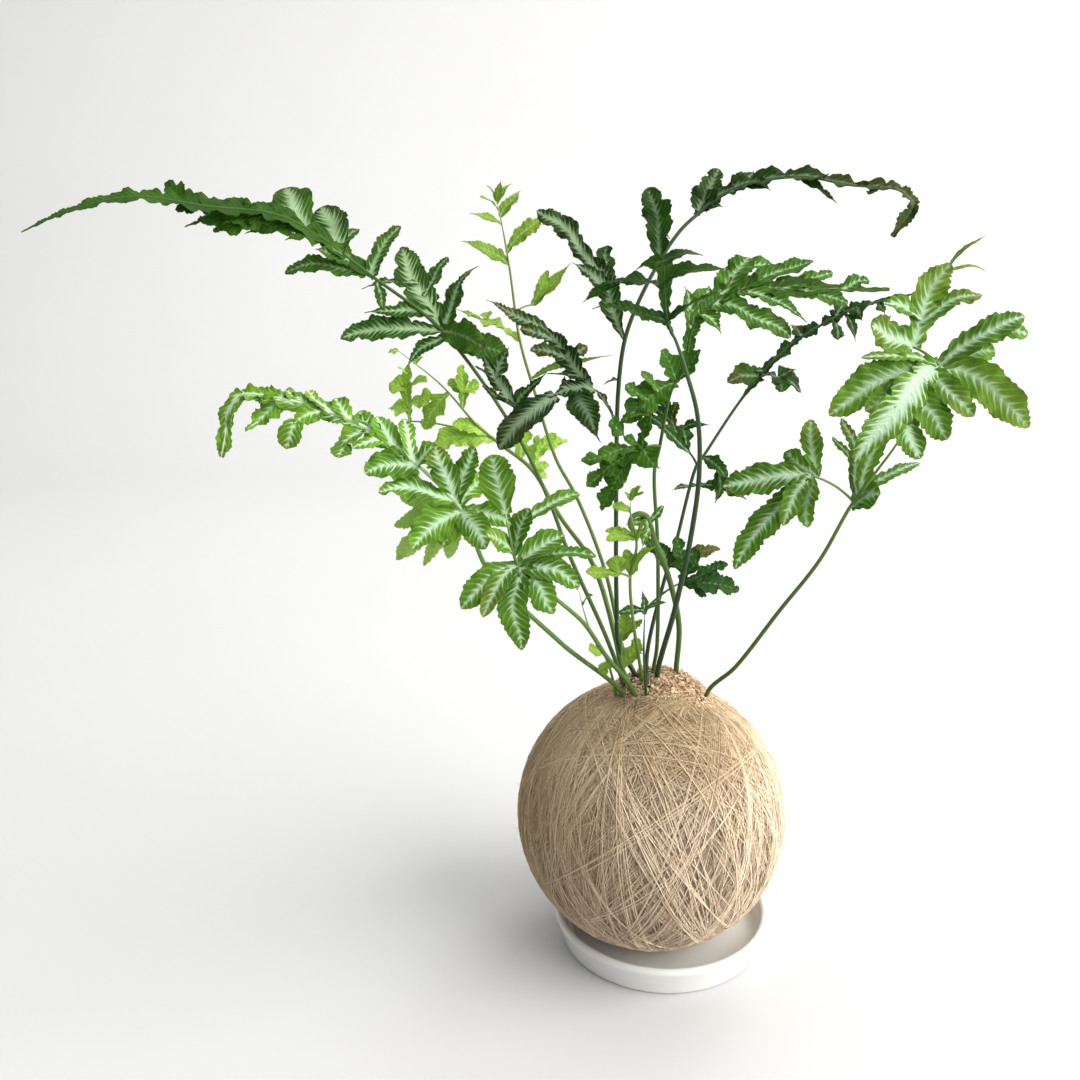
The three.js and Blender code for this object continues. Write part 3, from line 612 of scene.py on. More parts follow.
def winding(normal, height, rng):
    """One turn of thread: a great circle, pushed aside where it meets the mouth."""
    first = unit(np.cross(normal, np.array([0.31, 0.2, 0.93])))
    second = np.cross(normal, first)
    angle = np.linspace(0, FULL_TURN, 361)
    way = first * np.cos(angle)[:, None] + second * np.sin(angle)[:, None]
    polar = np.arccos(np.clip(way[:, 2], -1, 1))
    turn = np.arctan2(way[:, 1], way[:, 0])
    polar = np.maximum(polar, rim_angle(turn) * (1.0 + 0.07 * rng.random()))
    path = ball_point(polar, turn, height + mound_swell(polar))
    run = np.concatenate([[0], np.cumsum(np.linalg.norm(np.diff(path, axis=0), axis=1))])
    stops = np.linspace(0, run[-1], WINDING_STEPS + 1)[:-1]
    path = np.stack([np.interp(stops, run, path[:, axis]) for axis in range(3)], -1)
    wobble = rng.normal(0.0, 0.06, WINDING_STEPS)
    wobble = (wobble + np.roll(wobble, 1) + np.roll(wobble, -1)) / 1.7
    return path + outwards(path) * wobble[:, None]


def winding_normal(rng):
    """Where the next bundle runs: over one of two places on the mouth's edge, or round at a slant."""
    kind = rng.random()
    if kind < 0.22:
        return polar_normal(rng.normal(LEFT_PIVOT, 0.22), rng.uniform(-0.9, 0.9))
    if kind < 0.46:
        return polar_normal(rng.normal(RIGHT_PIVOT, 0.24), rng.uniform(-0.9, 0.9))
    if kind < 0.5:
        return polar_normal(rng.uniform(0, FULL_TURN), rng.uniform(0.4, 1.2) * rng.choice([-1, 1]))
    rise = rng.uniform(0.15, 0.7) * rng.choice([-1, 1])
    return directions(math.acos(rise), rng.uniform(0, FULL_TURN))


def make_windings(rng):
    """Threads in loose bundles of near-parallel turns, piled up from the bed outwards."""
    material = thread_material("thread")
    for layer in range(WINDING_LAYERS):
        soup = Soup()
        made = 0
        while made < WINDINGS_PER_LAYER:
            normal = winding_normal(rng)
            drift_axis = any_direction(rng)
            drift = rng.uniform(0.014, 0.07)
            tone = rng.uniform(0.0, 0.25)
            for _ in range(int(rng.integers(1, 6))):
                depth = (layer + made / WINDINGS_PER_LAYER) / WINDING_LAYERS
                height = WINDING_INNER + (WINDING_OUTER - WINDING_INNER) * depth + rng.uniform(-0.16, 0.16)
                normal = unit(turned(normal, drift_axis, drift * rng.uniform(0.3, 1.7)))
                path = winding(normal, height, rng)
                radius = THREAD_RADIUS * rng.uniform(0.75, 1.15)
                # Deeper windings are darker: painted shade of the gaps between the windings, with some
                # dust, on top of each bundle's random tone.
                shade = depth * (tone + rng.uniform(0.2, 1.5))
                soup.add(*tube(path, radius, THREAD_SIDES, closed=True), (0, shade, 0, 0))
                made += 1
        soup.piece(f"windings_{layer + 1}", [material], "thread")


def any_ball_point(rng, below_mouth, distance):
    """A random place on the ball, below the mouth's edge."""
    way = any_direction(rng)
    polar = max(math.acos(way[2]), MOUTH_ANGLE * below_mouth)
    return ball_point(polar, math.atan2(way[1], way[0]), distance)


def make_fuzz(rng):
    """Short cotton hairs that stand out of the windings, and crumbs caught in them."""
    soup = Soup()
    for _ in range(HAIR_COUNT):
        root = any_ball_point(rng, 1.1, WINDING_OUTER)
        out = outwards(root)
        along = unit(np.cross(out, any_direction(rng)) + out * rng.uniform(0.1, 0.6))
        length = rng.uniform(1.5, 4.5)
        steps = np.linspace(0, 1, 5)[:, None]
        path = root + along * steps * length - out * steps ** 2 * length * rng.uniform(0.0, 0.3)
        path[:, 2] = np.maximum(path[:, 2], BALL_SEAT + 0.2)
        shade = rng.uniform(0.4, 1.0)
        soup.add(*tube(path, np.linspace(0.1, 0.04, 5), THREAD_SIDES), (0, shade, 0, 0))
    for _ in range(CRUMB_COUNT):
        centre = any_ball_point(rng, 1.2, WINDING_OUTER + 0.1)
        out = outwards(centre)
        size = (rng.uniform(0.5, 1.8), rng.uniform(0.3, 0.7), 0.2)
        chip = chip_mesh(centre, np.cross(out, any_direction(rng)), out, size, rng)
        soup.add(*chip, (0, rng.choice([0.0, 1.3]), 0, 0))
    soup.piece("thread_fuzz", [thread_material("fuzz")], "thread")


def chip_mesh(centre, along, over, size, rng):
    """A splinter of husk: a six-cornered slab with ragged ends."""
    along = unit(along)
    side = unit(np.cross(over, along))
    over = np.cross(along, side)
    length, width, thick = size
    points = []
    for level in (-0.5, 0.5):
        for x, y in ((-0.5, -0.35), (-0.42, 0.4), (0.05, 0.5), (0.5, 0.3), (0.44, -0.42), (-0.08, -0.5)):
            x = x + rng.uniform(-0.09, 0.09)
            y = y + rng.uniform(-0.12, 0.12)
            bow = -0.5 * thick * (2 * x) ** 2
            points.append(centre + along * x * length + side * y * width + over * (level * thick + bow))
    return points, [(5, 4, 3, 2, 1, 0), (6, 7, 8, 9, 10, 11)] + ring_faces(0, 6, 6)


def make_crown(rng):
    """Coir chips and loose fibres heaped in the mouth of the ball."""
    soup = Soup()

    def place(spread, low, high):
        """A random place on the mound, lifted off it by low to high."""
        turn = rng.uniform(0, FULL_TURN)
        polar = float(rim_angle(turn)) * spread * math.sqrt(rng.random())
        return mound_point(polar, turn, rng.uniform(low, high))

    for _ in range(CHIP_COUNT):
        centre = place(1.06, -0.4, 1.3)
        out = outwards(centre)
        along = np.cross(out, any_direction(rng)) + out * rng.uniform(-0.5, 0.6)
        size = (rng.uniform(1.2, 3.8), rng.uniform(0.5, 1.5), rng.uniform(0.25, 0.7))
        chip = chip_mesh(centre, along, out, size, rng)
        red = float(rng.random() < 0.16) * rng.uniform(0.3, 0.9)
        soup.add(*chip, (0, rng.uniform(0.2, 1.0), red, 0))
    for _ in range(FIBRE_COUNT):
        centre = place(1.08, 0.3, 1.5)
        out = outwards(centre)
        along = unit(np.cross(out, any_direction(rng)) + out * rng.uniform(-0.2, 0.5))
        bend = any_direction(rng)
        length = rng.uniform(3.0, 9.0)
        steps = np.linspace(-0.5, 0.5, 7)[:, None]
        path = centre + along * steps * length + bend * (steps ** 2 - 0.1) * length * 0.6
        tone = (0, rng.uniform(0.5, 1.0), rng.random() * 0.25, 0)
        soup.add(*tube(path, np.linspace(0.17, 0.08, 7), THREAD_SIDES), tone)
    soup.piece("coir_chips", [chip_material("chips")], "fibre", sharp=0.6)


# ---- stems and leaves ----


class Curve:
    """A curve with a point and a tangent for each share of its length."""

    def line(self, shares):
        return np.array([self.point(share) for share in shares])


class Route(Curve):
    """A centripetal Catmull-Rom curve, the same as the one that the model's stems follow."""

    def __init__(self, points):
        self.points = np.asarray(points, float)

    def point(self, share):
        points = self.points
        last = len(points) - 1
        place = np.clip(share, 0.0, 1.0) * last
        index = min(int(place), last - 1)
        w = place - index
        p1, p2 = points[index], points[index + 1]
        p0 = points[index - 1] if index > 0 else 2 * p1 - p2
        p3 = points[index + 2] if index + 2 <= last else 2 * p2 - p1
        gaps = [max(np.linalg.norm(b - a) ** 0.5, 1e-4) for a, b in ((p0, p1), (p1, p2), (p2, p3))]
        t1 = (p1 - p0) / gaps[0] - (p2 - p0) / (gaps[0] + gaps[1]) + (p2 - p1) / gaps[1]
        t2 = (p2 - p1) / gaps[1] - (p3 - p1) / (gaps[1] + gaps[2]) + (p3 - p2) / gaps[2]
        t1, t2 = t1 * gaps[1], t2 * gaps[1]
        square, cube = w * w, w ** 3
        return p1 + t1 * w + (3 * (p2 - p1) - 2 * t1 - t2) * square + (2 * (p1 - p2) + t1 + t2) * cube

    def tangent(self, share):
        step = 1e-4
        low, high = max(share - step, 0.0), min(share + step, 1.0)
        return unit(self.point(high) - self.point(low))


class Rib(Curve):
    """The bowed midrib of a blade, from where it grows to its tip."""

    def __init__(self, start, growth, tip):
        self.length = np.linalg.norm(tip - start)
        middle = (start + tip) / 2 + growth * self.length * RIB_BOW + UP * self.length * RIB_LIFT
        self.ends = (start, middle, tip)

    def point(self, share):
        a, b, c = self.ends
        return a * (1 - share) ** 2 + 2 * b * share * (1 - share) + c * share ** 2

    def tangent(self, share):
        a, b, c = self.ends
        return unit((b - a) * (1 - share) + (c - b) * share)


class ModelRandom:
    """The model's kind of repeatable random numbers, for the turn of each blade."""

    def __init__(self, seed):
        self.state = seed

    def next(self):
        self.state = (self.state * 1664525 + 1013904223) % 2 ** 32
        return self.state / 2 ** 32


def blade_half_width(share, width, acute, base):
    """Half the width of an uncut blade along its length. An acute one has a drawn-out tip."""
    peak = 0.36 if acute else 0.52
    rise = np.clip(share / peak, 0, 1)
    rise = base + (1 - base) * np.sin(rise * math.pi / 2) ** 1.1
    fall = np.clip((share - peak) / (1 - peak), 0, 1)
    if acute:
        fall = np.maximum(1 - np.clip(fall / 0.86, 0, 1) ** 1.6, 0.13 * (1 - fall) ** 0.4)
    else:
        fall = (1 - fall ** 2.3) ** 0.62
    return width / 2 * rise * np.maximum(fall, 0.012)


def tooth_wave(place):
    """Forward-pointing rounded teeth, from 0 in a notch to 1 at a point."""
    part = place % 1.0
    return np.where(part < 0.72, (part / 0.72) ** 0.75, (1 - part) / 0.28)


def lobe_wave(place, depths):
    """Forward-pointing lobes, each with a depth of its own: 1 at a crest, less in a notch."""
    part = place % 1.0
    rise = np.sin(part / 0.68 * math.pi / 2)
    fall = np.cos((part - 0.68) / 0.32 * math.pi / 2)
    swell = np.where(part < 0.68, rise, fall)
    depth = depths[np.floor(place).astype(int) % len(depths)]
    return 1 - depth * (1 - np.abs(swell) ** 0.8)


def vein_count(share, veins, wide, reach, pitch):
    """Veins passed so far. They leave the midrib steeply and turn forward towards the edge."""
    return share * veins - wide * VEIN_SLANT * (0.7 + 0.45 * reach) / pitch


def end_faces(start, loop):
    """Faces that close the end of a blade, between its upper and its lower points."""
    under = start + loop - 1
    return [(start + i, under - i, under - i - 1, start + i + 1) for i in range(loop // 2 - 1)]


def add_blade(soup, line, growth, half, facing, look, rng):
    """A leaf blade along a midrib line: toothed and lobed, folded, quilted and waved."""
    length = np.linalg.norm(np.diff(line, axis=0), axis=1).sum()
    pitch = look["pitch"]
    veins = max(length / pitch, 3.0)
    rows = len(line)
    share = np.linspace(0, 1, rows)
    side_way = unit(np.cross(facing, growth))
    normal = unit(np.cross(growth, side_way))
    lobes = length / look["lobe"]
    sides = 4 if half.max() > 3.2 else 3
    across = np.linspace(-1, 1, 2 * sides + 1)
    fold = look["fold"] * rng.uniform(0.3, 1.5)
    wave_count = length / rng.uniform(10.0, 17.0)
    wave_phase = rng.uniform(0, 6.28)
    wave_size = look["wave"] * rng.uniform(0.5, 1.4)
    twist = rng.uniform(-1, 1) * look["twist"]
    halves = {}
    for sign in (-1, 1):
        depths = look["cut"] * rng.uniform(0.15, 1.6, LOBE_DEPTHS)
        shape = lobe_wave(share * lobes * rng.uniform(0.85, 1.15) + rng.random(), depths)
        edge = half * np.clip(shape, 0.2, 1)
        place = vein_count(share, veins, half, 1.0, pitch) + TOOTH_SHIFT
        sizes = look["tooth"] * rng.uniform(0.5, 1.5, TOOTH_SIZES)
        depth = np.minimum(sizes[np.floor(place).astype(int) % TOOTH_SIZES], edge * 0.4)
        halves[sign] = edge - depth * (1 - tooth_wave(place))
    top, leaf = [], []
    for u in across:
        sign = 1 if u >= 0 else -1
        reach = np.abs(u)
        wide = halves[sign] * reach
        vein = vein_count(share, veins, wide, reach, pitch)
        ripple = np.cos(FULL_TURN * vein) * look["quilt"] * reach * (1.25 - reach)
        sway = np.sin(FULL_TURN * share * wave_count + wave_phase + 1.3 * sign)
        sway = sway + 0.5 * np.sin(5.1 * math.pi * share * wave_count + 2 * wave_phase)
        lift = wide * fold + ripple + sway * wave_size * reach ** 2 * half
        lean = u * np.sin(math.pi * share) * twist
        spot = line + side_way * (sign * wide * math.cos(fold))[:, None]
        top.append(spot + normal * (lift + lean * half)[:, None])
        leaf.append(np.stack([np.full(rows, u), vein, share, 0 * share], -1))
    under = [spot - normal * LEAF_THICKNESS for spot in top[::-1]]
    below = [numbers + (0, 0, 0, 1) for numbers in leaf[::-1]]
    loop = 2 * len(across)
    points = np.stack(top + under, 1).reshape(-1, 3)
    numbers = np.stack(leaf + below, 1).reshape(-1, 4)
    faces = []
    for row in range(rows - 1):
        faces += ring_faces(row * loop, (row + 1) * loop, loop)
    faces += end_faces(0, loop) + turned_over(end_faces((rows - 1) * loop, loop))
    silver = look["silver_level"] * rng.uniform(0.7, 1.2)
    zone = look["zone"] * rng.uniform(0.6, 1.4)
    burnt = max(look["dried"], look["burn"] * (rng.random() < 0.4) * rng.random())
    soup.add(points, faces, (silver, rng.random(), burnt, zone), numbers)


# ---- the fern ----
# The fifteen fronds follow the model's, but not blade for blade: on seven of them some
# blades are moved, added or left out. Many blades are wider or narrower, some stems are
# thinner or thicker, and the long left one ends up to 4 mm lower.
# stem: points up the stalk, in millimetres.
# blades: [grows from, at, tip x, tip y, tip z, width, own look]. One grows from the stem, at
# a count of its points, or from the blade of that number, at a share of the way along it.
# A width of 0 is a stalk. The own look is left out where a blade is like the rest.
# wing: the leaf tissue along the stem, with its width at each stem point from "from" on.

BLADE_SHAPE = {
    "pitch": 2.7, "tooth": 0.8, "fold": 0.2, "quilt": 0.13, "wave": 0.2, "twist": 0.3,
    "lobe": 12.0, "cut": 0.2, "wing_lobe": 9.0, "wing_cut": 0.4, "base": 0.36, "wing_base": 0.8,
    "acute": 0.6, "burn": 0.2, "silver_level": 1.0, "zone": 0.2, "level": 1.0,
    "back": False, "dried": 0.0, "facing": None, "tip": 0.25,
}
SKIN = {
    "finger": 0.55, "flame": 0.45, "line": 0.4, "vein_edge": 0.5, "silver_share": 0.56,
    "dim": -0.4, "edge_share": 0.35, "soft": 0.36,
    "roughness": 0.5, "glow": 0.08, "gloss": 0.09,
}

# Blades that differ from the rest of their frond.
BACK = {"back": True, "cut": 0.04, "fold": 0.05, "facing": FRONT_FACING}
CURL = {"zone": 0.12, "wave": 0.1, "base": 0.6, "cut": 0.05}
DRIED = {"dried": 1.0, "silver_level": 0.1, "zone": 0.03, "acute": 1.0}
FAN = {"base": 0.55, "zone": 0.3, "acute": 0.0, "cut": 0.12, "silver_level": 1.1}
GREEN = {"silver_level": 0.15, "zone": -0.08}
PALE = {
    "silver_level": 1.35, "zone": 0.38, "cut": 0.3, "lobe": 14.0, "quilt": 0.0,
    "facing": LEAF_FACING,
}
BROAD = {"acute": 0.0, "silver_level": 1.2, "zone": 0.27, "cut": 0.3, "lobe": 10.0}
ROUND = {"acute": 0.0, "cut": 0.08, "base": 0.4, "facing": FRONT_FACING}
LOBE = {**ROUND, "base": 0.85}
HANGING = {
    "silver_level": 1.2, "zone": 0.3, "cut": 0.08, "acute": 0.0, "base": 0.5,
    "facing": FRONT_FACING,
}
DRAWN_OUT = {**HANGING, "acute": 1.0}
FAN_DARK = {**ROUND, "silver_level": 0.35, "zone": 0.02}
LOBED = {"silver_level": 0.3, "zone": -0.04, "cut": 0.5, "lobe": 8.0, "acute": 0.3}
SILVERY = {
    "silver_level": 1.2, "zone": 0.3, "cut": 0.28, "lobe": 10.0, "acute": 0.3, "wave": 0.35,
    "facing": FRONT_FACING,
}
NECKED = {**SILVERY, "base": 0.12, "acute": 0.0}
SCALLOPED = {"zone": 0.12, "cut": 0.35, "lobe": 9.0, "acute": 0.0}
TAIL = {**GREEN, "cut": 0.5, "lobe": 7.0, "facing": FRONT_FACING}

# The four finishes of a leaf's skin, and of a stem from its root to its end.
SKIN_COLOURS = ("green", "light", "silver", "edge", "under", "burnt")
LOOKS = {
    "silver": {
        "green": (0.020, 0.068, 0.005), "light": (0.052, 0.135, 0.010),
        "silver": (0.42, 0.60, 0.33), "edge": (0.010, 0.032, 0.004),
        "under": (0.07, 0.17, 0.025), "burnt": (0.09, 0.05, 0.03),
    },
    "bright": {
        "green": (0.046, 0.120, 0.007), "light": (0.108, 0.235, 0.014),
        "silver": (0.50, 0.68, 0.47), "edge": (0.028, 0.075, 0.004),
        # This underside green is lighter than the leaf's own: painted light shining through the leaf.
        "under": (0.26, 0.42, 0.09), "burnt": (0.30, 0.20, 0.05),
    },
    "pale": {
        "green": (0.13, 0.24, 0.022), "light": (0.27, 0.44, 0.06),
        "silver": (0.48, 0.64, 0.24), "edge": (0.09, 0.17, 0.012),
        "under": (0.26, 0.42, 0.06), "burnt": (0.30, 0.20, 0.05),
    },
    "dark": {
        "green": (0.010, 0.036, 0.004), "light": (0.028, 0.082, 0.008),
        "silver": (0.36, 0.50, 0.31), "edge": (0.006, 0.014, 0.004),
        "under": (0.07, 0.13, 0.05), "burnt": (0.20, 0.13, 0.035),
    },
}
STEM_TONES = {
    "silver": ((0.05, 0.11, 0.014), (0.075, 0.15, 0.025), (0.032, 0.082, 0.009)),
    "bright": ((0.05, 0.11, 0.014), (0.13, 0.24, 0.045), (0.58, 0.76, 0.46)),
    "pale": ((0.08, 0.15, 0.018), (0.18, 0.28, 0.06), (0.44, 0.60, 0.22)),
    "dark": ((0.014, 0.042, 0.008), (0.035, 0.075, 0.02), (0.05, 0.10, 0.03)),
}

# What differs from BLADE_SHAPE, frond by frond.
# A frond's level is partly its own tone and partly painted light and shade, for how brightly it is lit.
SHAPES = {
    "frond_long_left": {
        "level": 0.8, "silver_level": 0.65, "zone": 0.17, "acute": 0.55, "tip": 0.9,
    },
    "frond_mid_left": {
        "level": 1.2, "silver_level": 0.9, "acute": 0.0, "wing_cut": 0.5, "wave": 0.26, "base": 0.45,
        "quilt": 0.09,
    },
    "frond_low_left": {
        "level": 0.92, "silver_level": 0.9, "zone": 0.16, "acute": 0.0, "cut": 0.1, "wave": 0.12,
        "pitch": 2.9, "quilt": 0.08,
    },
    "frond_pale_back": {
        "level": 1.3, "silver_level": 0.25, "zone": 0.05, "acute": 0.1, "cut": 0.4, "lobe": 9.0,
        "base": 0.28,
    },
    "frond_pale_tall": {"level": 0.8, "silver_level": 0.25, "zone": 0.08, "base": 0.3},
    "frond_tall_dark": {
        "level": 0.62, "silver_level": 0.7, "cut": 0.3, "wave": 0.3, "burn": 0.4, "fold": 0.3,
        "wing_cut": 0.35,
    },
    "frond_mid_right": {
        "level": 1.25, "silver_level": 0.6, "zone": 0.14, "acute": 0.15, "cut": 0.22, "wing_cut": 0.3,
    },
    "frond_spiky_front": {
        "silver_level": 0.1, "zone": -0.08, "cut": 0.4, "acute": 1.0, "base": 0.6,
    },
    "frond_dark_right": {
        "level": 0.88, "silver_level": 0.35, "zone": 0.1, "cut": 0.4, "lobe": 9.0, "wave": 0.3,
        "burn": 0.7, "base": 0.4,
    },
    "frond_small_dark": {"level": 1.3, "burn": 0.0, "silver_level": 0.45, "zone": 0.1, "cut": 0.35},
    "frond_far_right": {
        "level": 0.88, "silver_level": 0.88, "zone": 0.24, "acute": 0.0, "cut": 0.18, "wave": 0.14,
        "base": 0.45, "quilt": 0.06, "pitch": 3.0, "tooth": 0.9,
    },
    "frond_young_front": {"acute": 0.2, "silver_level": 0.25, "zone": 0.06, "base": 0.3},
    "frond_young_low": {"level": 0.75, "acute": 0.05, "silver_level": 0.1, "zone": -0.05, "cut": 0.4},
    "frond_thin_left": {
        "level": 0.85, "acute": 0.05, "silver_level": 0.1, "zone": -0.05, "cut": 0.5, "lobe": 6.0,
    },
}

